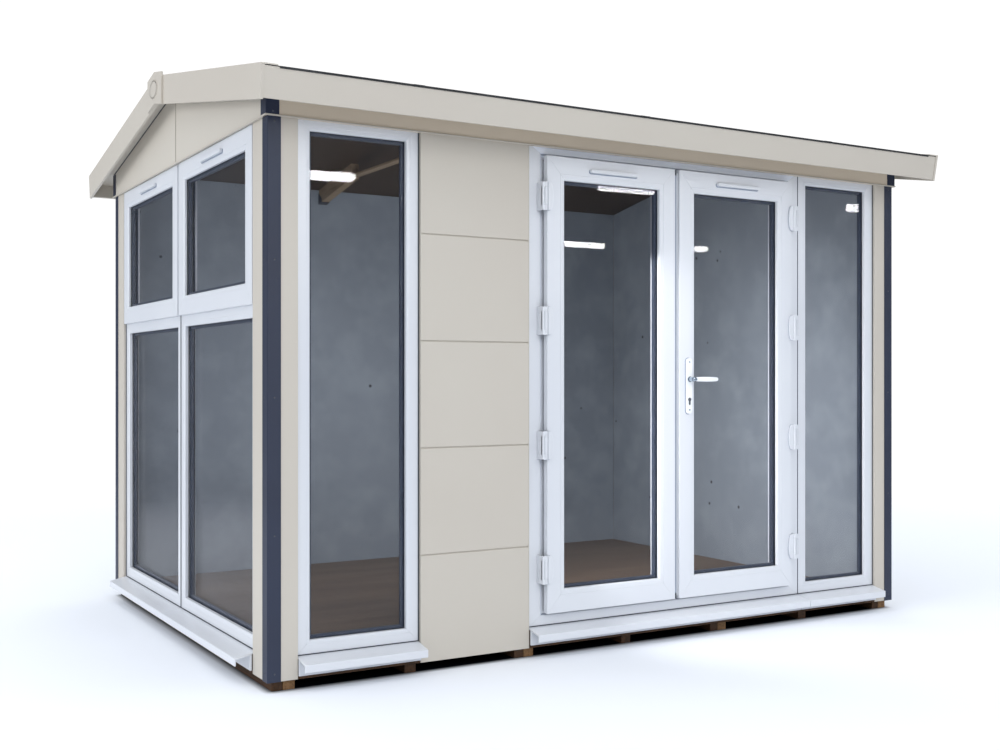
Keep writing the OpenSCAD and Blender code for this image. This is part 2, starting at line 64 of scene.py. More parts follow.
# The boxes of a node's separate solids, from left to right and front to back.
def solidsOf(node):
    mesh = mergedCopy(node)
    seen, boxes = set(), []
    for vert in mesh.verts:
        if vert in seen:
            continue
        group, edge = [], [vert]
        seen.add(vert)
        while edge:
            here = edge.pop()
            group.append(here.co.copy())
            for link in here.link_edges:
                other = link.other_vert(here)
                if other not in seen:
                    seen.add(other)
                    edge.append(other)
        boxes.append((Vector(map(min, zip(*group))), Vector(map(max, zip(*group)))))
    mesh.free()
    return sorted(boxes, key=lambda b: (round(b[0].x), round(b[0].y), round(b[0].z)))


def linear(code):
    parts = [int(code[i:i + 2], 16) / 255 for i in (1, 3, 5)]
    return tuple(p / 12.92 if p <= 0.04045 else ((p + 0.055) / 1.055) ** 2.4 for p in parts) + (1,)


def addNode(tree, kind, settings=None, links=None):
    node = tree.nodes.new(kind)
    for name, value in (settings or {}).items():
        if isinstance(name, int) or name in node.inputs:
            node.inputs[name].default_value = value
        else:
            setattr(node, name, value)
    for name, source in (links or {}).items():
        tree.links.new(source, node.inputs[name])
    return node


def startFinish(name):
    finish = bpy.data.materials.new(name)
    finish.use_nodes = True
    tree = finish.node_tree
    tree.nodes.clear()
    return finish, tree, addNode(tree, "ShaderNodeOutputMaterial")


# Ends a finish in one surface shader.
def endFinish(finish, tree, out, settings, links):
    shader = addNode(tree, "ShaderNodeBsdfPrincipled", settings, links)
    tree.links.new(shader.outputs[0], out.inputs[0])
    return finish


# Two colours mixed by a noise; low and high set how hard the change between them is.
def noiseMix(tree, spot, scale, detail, low, high, colourA, colourB, stretch=(1, 1, 1)):
    turned = addNode(tree, "ShaderNodeMapping", {"Scale": stretch}, {"Vector": spot})
    noise = addNode(
        tree, "ShaderNodeTexNoise", {"Scale": scale, "Detail": detail}, {"Vector": turned.outputs[0]})
    span = addNode(
        tree, "ShaderNodeMapRange", {"From Min": low, "From Max": high}, {"Value": noise.outputs["Fac"]})
    mix = addNode(tree, "ShaderNodeMix", {"data_type": "RGBA"}, {0: span.outputs[0]})
    for slotNumber, colour in ((6, colourA), (7, colourB)):
        if isinstance(colour, str):
            mix.inputs[slotNumber].default_value = linear(colour)
        else:
            tree.links.new(colour, mix.inputs[slotNumber])
    return mix.outputs[2], noise.outputs["Fac"]


# A painted, moulded or coated surface: a faint change of tone and a fine grain, patch and grain in mm.
def coatedFinish(name, colourA, colourB, patch, roughness, grain, depth, ior=1.5, coat=0.0):
    finish, tree, out = startFinish(name)
    spot = addNode(tree, "ShaderNodeTexCoord").outputs["Object"]
    colour, _ = noiseMix(tree, spot, 1000 / patch, 3, 0.35, 0.65, colourA, colourB)
    fine = addNode(tree, "ShaderNodeTexNoise", {"Scale": 1000 / grain, "Detail": 2}, {"Vector": spot})
    bump = addNode(
        tree, "ShaderNodeBump", {"Strength": 0.35, "Distance": depth / 1000}, {"Height": fine.outputs["Fac"]})
    return endFinish(
        finish, tree, out, {"Roughness": roughness, "IOR": ior, "Coat Weight": coat},
        {"Base Color": colour, "Normal": bump.outputs[0]})


# Plastisol-coated steel cladding: soft satin cream, an even tone that the light rolls over
creamPlastisol = coatedFinish("creamPlastisolSteel", "#c5bfb4", "#c2bbb0", 900, 0.48, 2.4, 0.05)
# Extruded uPVC: clean cool white with a low gloss that shows each step of the profile
whiteUpvc = coatedFinish("whiteExtrudedUpvc", "#d8dbe0", "#d5d8de", 700, 0.3, 3.0, 0.02, ior=1.53)
# Polyester powder coat on folded steel: deep blue grey, slight orange peel
anthraciteCoat = coatedFinish("anthracitePowderCoat", "#1f2941", "#1c253c", 260, 0.5, 1.8, 0.05)
# The same uPVC on the door frame's head and sides, painted paler: painted light that lifts the shade it sits
# in
upvcPaintedLight = coatedFinish("extrudedUpvcPaintedLight", "#e8eefa", "#e5ebf6", 700, 0.3, 3.0, 0.02, ior=1.53)
# Rubber roofing membrane: black, matt, with a dusty bloom
blackRubberSheet = coatedFinish("blackRubberMembrane", "#17191c", "#24262a", 320, 0.72, 3.0, 0.15)
# Laminated ceiling board: dark brown and dull, so the roof closes the room
brownCeilingBoard = coatedFinish("brownLaminateCeiling", "#50453a", "#493e34", 420, 0.6, 2.5, 0.04)
# Pressed galvanised steel gone dull: darker than the timber it holds
dullGalvanised = coatedFinish("dullGalvanisedSteel", "#4a4e57", "#3d4149", 40, 0.45, 1.5, 0.03)
# Black EPDM glazing gasket: a dark line round each pane
blackGasket = coatedFinish("blackGasketRubber", "#23262c", "#1e2126", 80, 0.6, 2.0, 0.02)
# Anodised aluminium spacer between the two panes: a dark blue-grey band, drawn wider than the spacer as
# painted shade of the frame inside, and also the painted-shade sheet behind the glass
spacerAndPaintedShade = coatedFinish("anodisedSpacerAndPaintedShade", "#3f4757", "#394150", 120, 0.35, 2.0, 0.02)
# Grey painted shadow behind a ventilator, a handle plate and a hinge flag, and in the gaps round the leaves:
# drawn as the shadow line round each
greyPaintedShadow = coatedFinish("greyPaintedShadowLine", "#8f98a8", "#8a93a3", 60, 0.5, 2.0, 0.02)
# Brown in the joint between the header halves: painted shade of the open joint
brownJointShade = coatedFinish("brownJointShade", "#5d5140", "#564a3a", 60, 0.6, 2.0, 0.02)
# Sealant bead where a frame meets its neighbour: a thin dark line, partly painted shade; the same dark is
# painted shade along the headers' slopes and at the ends of the gap between the leaves
darkSealantAndShade = coatedFinish("darkSealantAndPaintedShade", "#2f3644", "#2a303d", 60, 0.6, 2.0, 0.02)
# Lacquered handle plate: close to white, with a clear gloss
whiteLacquer = coatedFinish("whiteLacqueredMetal", "#eef0f3", "#e8ebef", 60, 0.16, 2.0, 0.01, coat=0.4)
# The same cream steel on the gable, painted a shade lighter: painted light against the shade under the barge
# boards
plastisolPaintedLight = coatedFinish("creamPlastisolSteelPaintedLight", "#cdc7bc", "#cac4b9", 900, 0.48, 2.4, 0.05)
# The same cream steel under the eaves, painted warmer and lighter: painted bounce light where it looks warmer
plastisolPaintedBounce = coatedFinish("creamPlastisolSteelPaintedBounce", "#d8cab6", "#d4c6b2", 900, 0.48, 2.4, 0.05)


# Cement-faced lining board: blue grey, cloudy, with small dark air holes; sizes in millimetres.
liningLook = {"cloud": 760, "stain": 150, "holePitch": 210}


def mottledBoard():
    finish, tree, out = startFinish("cementFacedBoard")
    spot = addNode(tree, "ShaderNodeTexCoord").outputs["Object"]
    clouds, _ = noiseMix(tree, spot, 1000 / liningLook["cloud"], 4, 0.3, 0.7, "#8b949d", "#959ea7")
    stains, _ = noiseMix(tree, spot, 1000 / liningLook["stain"], 6, 0.42, 0.75, clouds, "#9ea8b0")
    holes = addNode(
        tree, "ShaderNodeTexVoronoi", {"Scale": 1000 / liningLook["holePitch"], "Randomness": 1.0},
        {"Vector": spot})
    edge = addNode(
        tree, "ShaderNodeMapRange", {"From Min": 0.03, "From Max": 0.055},
        {"Value": holes.outputs["Distance"]})
    colour = addNode(
        tree, "ShaderNodeMix", {"data_type": "RGBA", 6: linear("#4c4f56")}, {0: edge.outputs[0], 7: stains})
    bump = addNode(tree, "ShaderNodeBump", {"Strength": 0.6, "Distance": 0.002}, {"Height": edge.outputs[0]})
    return endFinish(
        finish, tree, out, {"Roughness": 0.62, "IOR": 1.5},
        {"Base Color": colour.outputs[2], "Normal": bump.outputs[0]})


# Softwood: long grain drawn about 6 mm apart so that it shows, broken up by a slower noise.
def sawnTimber(name, pale, dark, ringColour, along, roughness):
    finish, tree, out = startFinish(name)
    spot = addNode(tree, "ShaderNodeTexCoord").outputs["Object"]
    stretch = [1.0, 1.0, 1.0]
    stretch[along] = 0.05
    body, _ = noiseMix(tree, spot, 1000 / 30, 4, 0.35, 0.7, pale, dark, stretch)
    grain, height = noiseMix(tree, spot, 1000 / 6, 3, 0.5, 0.72, body, ringColour, stretch)
    bump = addNode(tree, "ShaderNodeBump", {"Strength": 0.5, "Distance": 0.0006}, {"Height": height})
    return endFinish(
        finish, tree, out, {"Roughness": roughness, "IOR": 1.5},
        {"Base Color": grain, "Normal": bump.outputs[0]})


# Wood-effect vinyl on the deck: warm taupe brown, soft streaks along the room.
def floorBoarding():
    finish, tree, out = startFinish("taupeFloorVinyl")
    spot = addNode(tree, "ShaderNodeTexCoord").outputs["Object"]
    streaks, _ = noiseMix(tree, spot, 1000 / 120, 5, 0.3, 0.7, "#88745f", "#755f4e", (0.12, 1, 1))
    colour, _ = noiseMix(tree, spot, 1000 / 9, 3, 0.55, 0.8, streaks, "#594a3d")
    return endFinish(finish, tree, out, {"Roughness": 0.55, "IOR": 1.5}, {"Base Color": colour})


# Clear float glass: see-through, with a reflection that grows towards grazing angles.
def floatGlass():
    finish, tree, out = startFinish("clearFloatGlass")
    facing = addNode(tree, "ShaderNodeLayerWeight", {"Blend": 0.5}).outputs["Facing"]
    power = addNode(tree, "ShaderNodeMath", {"operation": "POWER", 1: 5.0}, {0: facing})
    share = addNode(
        tree, "ShaderNodeMath", {"operation": "MULTIPLY_ADD", 1: 0.16, 2: 0.006}, {0: power.outputs[0]})
    clear = addNode(tree, "ShaderNodeBsdfTransparent", {"Color": linear("#fafafb")})
    shine = addNode(tree, "ShaderNodeBsdfGlossy", {"Color": (1, 1, 1, 1), "Roughness": 0.0})
    both = addNode(
        tree, "ShaderNodeMixShader", None, {0: share.outputs[0], 1: clear.outputs[0], 2: shine.outputs[0]})
    tree.links.new(both.outputs[0], out.inputs[0])
    return finish


# Polished chrome plate: nearly white where it meets the light, dark at its edges.
def brightMetal():
    finish, tree, out = startFinish("polishedChromePlate")
    spot = addNode(tree, "ShaderNodeTexCoord").outputs["Object"]
    smear = addNode(tree, "ShaderNodeTexNoise", {"Scale": 1000 / 25, "Detail": 2}, {"Vector": spot})
    rough = addNode(
        tree, "ShaderNodeMapRange", {"From Min": 0.3, "From Max": 0.7, "To Min": 0.14, "To Max": 0.22},
        {"Value": smear.outputs["Fac"]})
    return endFinish(
        finish, tree, out, {"Base Color": linear("#b9c5d0"), "Metallic": 1.0},
        {"Roughness": rough.outputs[0]})


cementBoard = mottledBoard()
darkTimber = sawnTimber("pressureTreatedTimber", "#4f3115", "#3a240f", "#2a1a0b", 1, 0.8)
tanTimber = sawnTimber("freshSawnTimber", "#8a6741", "#735434", "#593f26", 1, 0.8)
rafterTimber = sawnTimber("planedBeigeTimber", "#a5927a", "#948269", "#85745c", 1, 0.6)
floorVinyl = floorBoarding()
paneGlass = floatGlass()
chromePlate = brightMetal()
print("finishes made")


# A closed outline from (x, y, radius) corners.
def rounded(corners, steps=3):
    points = []
    for i, (x, y, radius) in enumerate(corners):
        here = Vector((x, y))
        back = Vector(corners[i - 1][:2]) - here
        ahead = Vector(corners[(i + 1) % len(corners)][:2]) - here
        if radius <= 0:
            points.append((x, y))
            continue
        half = back.angle(ahead) / 2
        cut = min(radius / math.tan(half), back.length * 0.49, ahead.length * 0.49)
        radius = cut * math.tan(half)
        back.normalize()
        ahead.normalize()
        middle = here + (back + ahead).normalized() * (radius / math.sin(half))
        for k in range(steps + 1):
            ray = (here + back * cut - middle).lerp(here + ahead * cut - middle, k / steps)
            points.append(tuple(middle + ray.normalized() * radius))
    return points


# A closed shell through several loops of the same count.
def stack(loops):
    count = len(loops[0])
    verts = [p for loop in loops for p in loop]
    last = (len(loops) - 1) * count
    faces = [tuple(range(count)), tuple(range(last + count - 1, last - 1, -1))]
    for at in range(0, last, count):
        for i in range(count):
            after = (i + 1) % count
            faces.append((at + i, at + after, at + count + after, at + count + i))
    return verts, faces


def prism(first, last):
    return stack([first, last])


# An outline run along an axis: (y, z) for 0, (x, z) for 1 and (x, y) for 2.
def bar(axis, outline, start, end):
    def spot(pair, run):
        spots = list(pair)
        spots.insert(axis, run)
        return tuple(spots)
    return prism([spot(p, start) for p in outline], [spot(p, end) for p in outline])


# A box with rounded edges along one axis.
def block(low, high, radius=1.5, axis=2):
    a, b = [i for i in range(3) if i != axis]
    corners = [(low[a], low[b]), (high[a], low[b]), (high[a], high[b]), (low[a], high[b])]
    return bar(axis, rounded([(*corner, radius) for corner in corners], 2), low[axis], high[axis])


# The points of an ellipse that stands across an axis.
def ringLoop(axis, centre, run, wide, tall, sides):
    loop = []
    for k in range(sides):
        turn = 2 * math.pi * k / sides
        spots = [centre[0] + wide * math.cos(turn), centre[1] + tall * math.sin(turn)]
        spots.insert(axis, run)
        loop.append(tuple(spots))
    return loop


# A round bar along an axis, with its ends rounded by lip.
def tube(axis, centre, radius, start, end, sides=32, lip=0.0):
    rings = [(start, radius), (end, radius)]
    if lip:
        ease = ((0.0, lip), (lip * 0.3, lip * 0.3), (lip, 0.0))
        rings = [(start + run, radius - shrink) for run, shrink in ease]
        rings += [(end - run, radius - shrink) for run, shrink in reversed(ease)]
    return stack([ringLoop(axis, centre, run, r, r, sides) for run, r in rings])


# Angles in degrees: past the first an edge is eased, and past the second it is shaded as sharp.
meshLook = {"eased": 28, "sharp": 32}


# Makes one finished piece from closed shells, and lets it ride on its body.
def put(name, parts, finish, body, stands=(), edge=0.0):
    mesh = bmesh.new()
    for part in parts:
        if isinstance(part, bmesh.types.BMesh):
            spare = bpy.data.meshes.new("spare")
            part.to_mesh(spare)
            mesh.from_mesh(spare)
            bpy.data.meshes.remove(spare)
            part.free()
            continue
        verts = [mesh.verts.new(p) for p in part[0]]
        for face in part[1]:
            mesh.faces.new([verts[i] for i in face])
    if edge:
        least = math.radians(meshLook["eased"])
        bent = [e for e in mesh.edges if e.is_manifold and e.calc_face_angle(0) > least]
        bmesh.ops.bevel(
            mesh, geom=bent, offset=edge, segments=2, profile=0.5, affect="EDGES", clamp_overlap=True)
    bmesh.ops.recalc_face_normals(mesh, faces=mesh.faces)
    bmesh.ops.scale(mesh, vec=(0.001, 0.001, 0.001), verts=mesh.verts)
    data = bpy.data.meshes.new(name)
    mesh.to_mesh(data)
    mesh.free()
    data.materials.append(finish)
    data.shade_smooth()
    data.set_sharp_from_angle(angle=math.radians(meshLook["sharp"]))
    # flat faces keep their own normal, and only the narrow rounded ones bend the light
    holder = bpy.data.objects.new("holder", data)
    bpy.context.scene.collection.objects.link(holder)
    holder.modifiers.new("weights", "WEIGHTED_NORMAL").keep_sharp = True
    graph = bpy.context.evaluated_depsgraph_get()
    made = bpy.data.meshes.new_from_object(holder.evaluated_get(graph))
    bpy.data.objects.remove(holder)
    bpy.data.meshes.remove(data)
    made.name = name
    piece = bpy.data.objects.new(name, made)
    bpy.context.scene.collection.objects.link(piece)
    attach(piece, body)
    if stands:
        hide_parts(*stands)


# A CAD node's own shape with its edges eased.
def softened(name, node, edge, finish, body="pod"):
    put(name, [mergedCopy(node)], finish, body, (node,), edge=edge)


def softenedRows(*rows):
    for name, node, edge, finish, slotName in rows:
        softened(name, node, edge, finish)


# Reads a list of (from, to) pairs as a straight-line rule.
def along(points, value):
    for (a, fromA), (b, fromB) in zip(points, points[1:]):
        if value <= b:
            break
    return fromA + (value - a) * (fromB - fromA) / (b - a)


def onFront(face):
    return lambda u, v, w: (u, face + w, v)


def onGable(face):
    return lambda u, v, w: (face + w, u, v)


# A rectangle brought in at its sides and at its foot and head; below zero it grows.
def shrunk(rect, side, rail):
    return rect[0] + side, rect[1] + rail, rect[2] - side, rect[3] - rail


# A flat slab between two depths.
def slab(rect, place, near, far):
    u0, v0, u1, v1 = rect
    ring = ((u0, v0), (u1, v0), (u1, v1), (u0, v1))
    return prism([place(u, v, near) for u, v in ring], [place(u, v, far) for u, v in ring])


# Four members round a rectangle, mitred at the corners, from an outline of (across, depth) points.
# railRule turns a distance across the uprights into one across the level members.
def mitred(rect, outline, place, railRule=None, gap=0.35, sides="lrfh"):
    u0, v0, u1, v1 = rect
    rail = [along(railRule, a) if railRule else a for a, _ in outline]
    shells = []
    for side in sides:
        ends = []
        for far in (False, True):
            loop = []
            for (a, w), b in zip(outline, rail):
                if side in "lr":
                    u = u0 + a if side == "l" else u1 - a
                    v = v1 - b - gap if far else v0 + b + gap
                else:
                    v = v0 + b if side == "f" else v1 - b
                    u = u1 - a - gap if far else u0 + a + gap
                loop.append(place(u, v, w))
            ends.append(loop)
        shells.append(prism(*ends))
    return shells


def startTree(name, sizes):
    tree = bpy.data.node_groups.new(name, "GeometryNodeTree")
    tree.interface.new_socket("Geometry", in_out="OUTPUT", socket_type="NodeSocketGeometry")
    kinds = {float: "NodeSocketFloat", int: "NodeSocketInt", tuple: "NodeSocketVector"}
    for label, value in sizes.items():
        kind = kinds.get(type(value), "NodeSocketMaterial")
        made = tree.interface.new_socket(label, in_out="INPUT", socket_type=kind)
        if value is not None:
            made.default_value = value
    given = {socket.name: socket for socket in addNode(tree, "NodeGroupInput").outputs}
    return tree, given, addNode(tree, "NodeGroupOutput")


# Repeats a solid from Start by Step, and ends the tree in one plain mesh with its finish.
def endTree(tree, solid, given, out):
    spots = addNode(
        tree, "GeometryNodeMeshLine", None,
        {"Count": given["Count"], "Start Location": given["Start"], "Offset": given["Step"]})
    links = {"Points": spots.outputs[0], "Instance": solid}
    if "Aim" in given:
        links["Rotation"] = given["Aim"]
    row = addNode(tree, "GeometryNodeInstanceOnPoints", None, links)
    whole = addNode(tree, "GeometryNodeRealizeInstances", None, {0: row.outputs[0]})
    done = addNode(
        tree, "GeometryNodeSetMaterial", None, {"Geometry": whole.outputs[0], "Material": given["Finish"]})
    tree.links.new(done.outputs[0], out.inputs[0])
    return tree


# A row of rounded bars: each runs from Start by Run, and the next stands one Step further on.
def barTree():
    tree, given, out = startTree("barRow", {
        "Width": 40.0, "Height": 40.0, "Radius": 2.0, "Start": (0.0, 0.0, 0.0), "Run": (100.0, 0.0, 0.0),
        "Step": (0.0, 0.0, 50.0), "Count": 1, "Finish": None})
    outline = addNode(
        tree, "GeometryNodeCurvePrimitiveQuadrilateral", None,
        {"Width": given["Width"], "Height": given["Height"]})
    fillet = addNode(
        tree, "GeometryNodeFilletCurve", {"mode": "POLY", "Count": 2},
        {"Curve": outline.outputs[0], "Radius": given["Radius"]})
    line = addNode(tree, "GeometryNodeCurvePrimitiveLine", None, {"End": given["Run"]})
    solid = addNode(
        tree, "GeometryNodeCurveToMesh", {"Fill Caps": True},
        {"Curve": line.outputs[0], "Profile Curve": fillet.outputs[0]})
    return endTree(tree, solid.outputs[0], given, out)


# A row of pan-head screws with a sunk socket; Aim turns them from facing up.
def screwTree():
    tree, given, out = startTree("screwRow", {
        "Radius": 4.0, "Start": (0.0, 0.0, 0.0), "Step": (0.0, 0.0, 50.0), "Count": 1,
        "Aim": (0.0, 0.0, 0.0), "Finish": None})
    disc = addNode(
        tree, "GeometryNodeMeshCircle", {"fill_type": "NGON", "Vertices": 12}, {"Radius": given["Radius"]})
    mesh, top = disc.outputs[0], None
    # each step: how far it is pushed out and how much its top shrinks, as shares of the radius
    for push, shrink in ((0.28, 0.86), (0.16, 0.72), (0.05, 0.5), (-0.3, 0.9)):
        reach = addNode(tree, "ShaderNodeMath", {"operation": "MULTIPLY", 1: push}, {0: given["Radius"]})
        links = {"Mesh": mesh, "Offset Scale": reach.outputs[0]}
        if top is not None:
            links["Selection"] = top
        pushed = addNode(tree, "GeometryNodeExtrudeMesh", {"Individual": False}, links)
        top = pushed.outputs["Top"]
        scaled = addNode(
            tree, "GeometryNodeScaleElements", {"Scale": shrink},
            {"Geometry": pushed.outputs[0], "Selection": top})
        mesh = scaled.outputs[0]
    closed = addNode(tree, "GeometryNodeJoinGeometry")
    tree.links.new(mesh, closed.inputs[0])
    tree.links.new(disc.outputs[0], closed.inputs[0])
    return endTree(tree, closed.outputs[0], given, out)


# One mesh in metres from several rows of the same tree.
def rowOf(tree, rows, finish):
    whole = bmesh.new()
    holder = bpy.data.objects.new("holder", bpy.data.meshes.new("holder"))
    bpy.context.scene.collection.objects.link(holder)
    sockets = {s.name: s.identifier for s in tree.interface.items_tree if s.in_out == "INPUT"}
    for row in rows:
        maker = holder.modifiers.new("maker", "NODES")
        maker.node_group = tree
        for label, value in {**row, "Finish": finish}.items():
            maker[sockets[label]] = value
        graph = bpy.context.evaluated_depsgraph_get()
        made = bpy.data.meshes.new_from_object(holder.evaluated_get(graph))
        whole.from_mesh(made)
        holder.modifiers.clear()
        bpy.data.meshes.remove(made)
    bpy.data.objects.remove(holder)
    bmesh.ops.remove_doubles(whole, verts=whole.verts, dist=0.01)
    bmesh.ops.recalc_face_normals(whole, faces=whole.faces)
    return whole


barRow = barTree()
screwRow = screwTree()
print("row trees made")

endLow, endHigh = boxOf("front_wall_ends")
site = {
    "left": endLow.x, "right": endHigh.x, "front": endLow.y, "back": boxOf("back_wall")[1].y,
    "header": boxOf("header_front")[0].z, "sheet": 3.0}
site["middle"] = (site["front"] + site["back"]) / 2
roofLow, roofHigh = boxOf("roof_covering")
site["slope"] = (roofHigh.z - roofLow.z - site["sheet"]) / (site["middle"] - roofLow.y)

bearerLook = {"split": 0.47, "gap": 1.5, "radius": 2.5, "pairFrom": 60.0}


# Most bearers are two timbers side by side: the left one dark, the right one pale
def makeBearers():
    boxes = solidsOf("bearers")
    doubles = [b for b in boxes if b[1].x - b[0].x > bearerLook["pairFrom"]]
    singles = [b for b in boxes if b[1].x - b[0].x <= bearerLook["pairFrom"]]
    low, high = doubles[0]
    run = (0.0, high.y - low.y, 0.0)
    wide = high.x - low.x
    tall = high.z - low.z
    left = wide * bearerLook["split"] - bearerLook["gap"]
    right = wide - left - 2 * bearerLook["gap"]

    def row(first, others, x, width):
        step = others[1][0].x - others[0][0].x
        return {
            "Width": width, "Height": tall, "Radius": bearerLook["radius"], "Run": run,
            "Start": (first.x + x, first.y, first.z + tall / 2), "Step": (step, 0.0, 0.0),
            "Count": len(others)}

    single = singles[0]
    dark = rowOf(barRow, [
        row(low, doubles, left / 2, left),
        row(single[0], singles, (single[1].x - single[0].x) / 2, single[1].x - single[0].x)], darkTimber)
    tan = rowOf(barRow, [row(low, doubles, wide - right / 2, right)], tanTimber)
    put("bearerTimbers", [dark], darkTimber, "pod", ("bearers",))
    put("bearerPartners", [tan], tanTimber, "pod", ())


makeBearers()

floorLook = {"boards": 4, "gap": 1.0, "radius": 1.5}
deckLow, deckHigh = boxOf("floor_deck")
boardWide = (deckHigh.y - deckLow.y) / floorLook["boards"]
put("floorBoards", [rowOf(barRow, [{
    "Width": boardWide - floorLook["gap"], "Height": deckHigh.z - deckLow.z, "Radius": floorLook["radius"],
    "Start": (deckLow.x, deckLow.y + boardWide / 2, (deckLow.z + deckHigh.z) / 2),
    "Run": (deckHigh.x - deckLow.x, 0.0, 0.0), "Step": (0.0, boardWide, 0.0),
    "Count": floorLook["boards"]}], floorVinyl)], floorVinyl, "pod", ("floor_deck",))
# the base rails take the dark timber finish, so the band under the sills is dark
softened("baseRails", "base_rails", 1.5, darkTimber)
print("base made")

boardLook = {"pitch": 419.0, "groove": 5.0, "depth": 5.0, "lip": 1.4, "edgeStrip": 6.0, "edgeBevel": 2.5}


# A wall's section with the grooves between its boards, as (depth, height) points.
def grooved(face, back, foot, top):
    look = boardLook
    into = 1 if back > face else -1
    corners = [(back, foot, 0), (face, foot, look["lip"])]
    height = foot + look["pitch"]
    while height < top - look["groove"]:
        low, high = height - look["groove"] / 2, height + look["groove"] / 2
        deep = face + into * look["depth"]
        corners += [(face, low, look["lip"]), (deep, low, 0), (deep, high, 0), (face, high, look["lip"])]
        height += look["pitch"]
    corners += [(face, top, look["lip"]), (back, top, 0)]
    return rounded(corners, 2)


def makeCladding():
    low, high = boxOf("cladding_panel")
    edge = high.x - boardLook["edgeStrip"]
    panel = bar(0, grooved(low.y, high.y, low.z, high.z), low.x, edge)
    strip = block((edge + 0.3, low.y, low.z), (high.x, high.y, high.z), boardLook["edgeBevel"])
    put("claddingPanel", [panel, strip], creamPlastisol, "pod", ("cladding_panel",),
        edge=0.6)


# Boards up to the header, and the wall's own shape above it; axis is the one that the boards run along
def makeFarWall(name, node, axis):
    low, high = boxOf(node)
    across = 1 - axis
    top = boxOf("header_back")[0].z
    boards = bar(axis, grooved(high[across], low[across], low.z, top - 0.4), low[axis], high[axis])
    upper = mergedCopy(node)
    cut = bmesh.ops.bisect_plane(
        upper, geom=[*upper.verts, *upper.edges, *upper.faces], plane_co=(0, 0, top), plane_no=(0, 0, 1),
        clear_inner=True)
    rim = [e for e in cut["geom_cut"] if isinstance(e, bmesh.types.BMEdge)]
    bmesh.ops.edgeloop_fill(upper, edges=rim)
    put(name, [boards, upper], creamPlastisol, "pod", (node,))


makeCladding()
makeFarWall("backWallBoards", "back_wall", 0)
makeFarWall("rightWallBoards", "right_end_wall", 1)
softenedRows(
    ("frontWallEnds", "front_wall_ends", 1.5, creamPlastisol, "cream_cladding"),
    ("gableWallEnds", "gable_wall_ends", 1.5, creamPlastisol, "cream_cladding"),
    ("wallLinings", "wall_linings", 0.8, cementBoard, "grey_lining"),
    # the front header takes the warmer cream, painted bounce light under the eaves
    ("frontHeader", "header_front", 2.0, plastisolPaintedBounce, "cream_cladding"),
    ("backHeader", "header_back", 1.2, creamPlastisol, "cream_cladding"))

headerLook = {
    "jointHalf": 4.5, "coverHalf": 5.0, "coverThick": 2.0, "shadeBack": 1.2, "shadeTall": 6.0, "shadeOut": 1.5,
    "edge": 1.2}


# Both ends: two header halves with an open joint between them, a dark strip behind the joint as its painted
# shade, and a dark bead along the slopes under the roof, painted shade where the header meets the roof
def makeEndHeaders(name, node, outSide):
    look = headerLook
    low, high = boxOf(node)
    middle = site["middle"]
    copy = mergedCopy(node)
    for vert in copy.verts:
        if abs(vert.co.y - middle) < look["jointHalf"]:
            vert.co.y = middle + math.copysign(look["jointHalf"], vert.co.y - middle)
    # the header halves take the lighter cream, painted light under the barge boards
    put(name, [copy], plastisolPaintedLight, "pod", (node,), edge=look["edge"])

    face, inward = (low.x, 1) if outSide < 0 else (high.x, -1)
    deep = face + inward * look["shadeBack"]
    near, far = sorted((deep, deep + inward * look["coverThick"]))
    strip = block(
        (near, middle - look["coverHalf"], low.z + 1), (far, middle + look["coverHalf"], high.z - 3), 0.5)
    put(name + "JointShadeStrip", [strip], brownJointShade, "pod", ())

    shadeLines = []
    outer, inner = face - inward * look["shadeOut"], face + inward
    for sign in (-1, 1):
        ends = []
        for away in (look["jointHalf"], middle - site["front"] - 2):
            y, top = middle + sign * away, high.z - site["slope"] * away
            foot = top - look["shadeTall"]
            ends.append([(outer, y, top), (inner, y, top), (inner, y, foot), (outer, y, foot)])
        shadeLines.append(prism(*ends))
    put(name + "ShadeLines", shadeLines, darkSealantAndShade, "pod", ())


makeEndHeaders("gableHeaders", "gable_headers", -1)
makeEndHeaders("endHeaders", "end_headers", 1)

# A drip lip runs right round under the header band, over the corner trims
lipLook = {"tall": 6.0, "under": 3.0, "out": 5.0, "radius": 1.5}


def makeLip():
    low, high = boxOf("header_front")[0], boxOf("header_back")[1]
    out, edge = lipLook["out"], lipLook["radius"]
    foot = site["header"] - lipLook["under"]
    top = foot + lipLook["tall"]
    rect = (low.x - out, low.y - out, high.x + out, high.y + out)
    section = rounded([(0, foot, edge), (0, top, edge), (out - 0.2, top, 0), (out - 0.2, foot, 0)], 2)
    lip = mitred(rect, section, lambda u, v, w: (u, v, w), gap=0.0)
    put("headerDripLip", lip, creamPlastisol, "pod", ())


makeLip()
print("walls made")

trimLook = {
    "fold": 3.0, "edge": 0.8, "thick": 3.0, "screwIn": 28.0, "screwRadius": 3.6, "screwDown": 18.0,
    "screwPitch": 505.0, "screwCount": 5, "shortUp": 12.0}


# The plan of an angle whose outer corner is at (x, y).
def angleSection(x, y, signX, signY, leg, thick):
    pair = [(0, 0, trimLook["fold"]), (leg, 0, trimLook["edge"]), (leg, thick, trimLook["edge"]),
            (thick, thick, trimLook["edge"]), (thick, leg, trimLook["edge"]), (0, leg, trimLook["edge"])]
    return rounded([(x + signX * a, y + signY * b, r) for a, b, r in pair], 3)


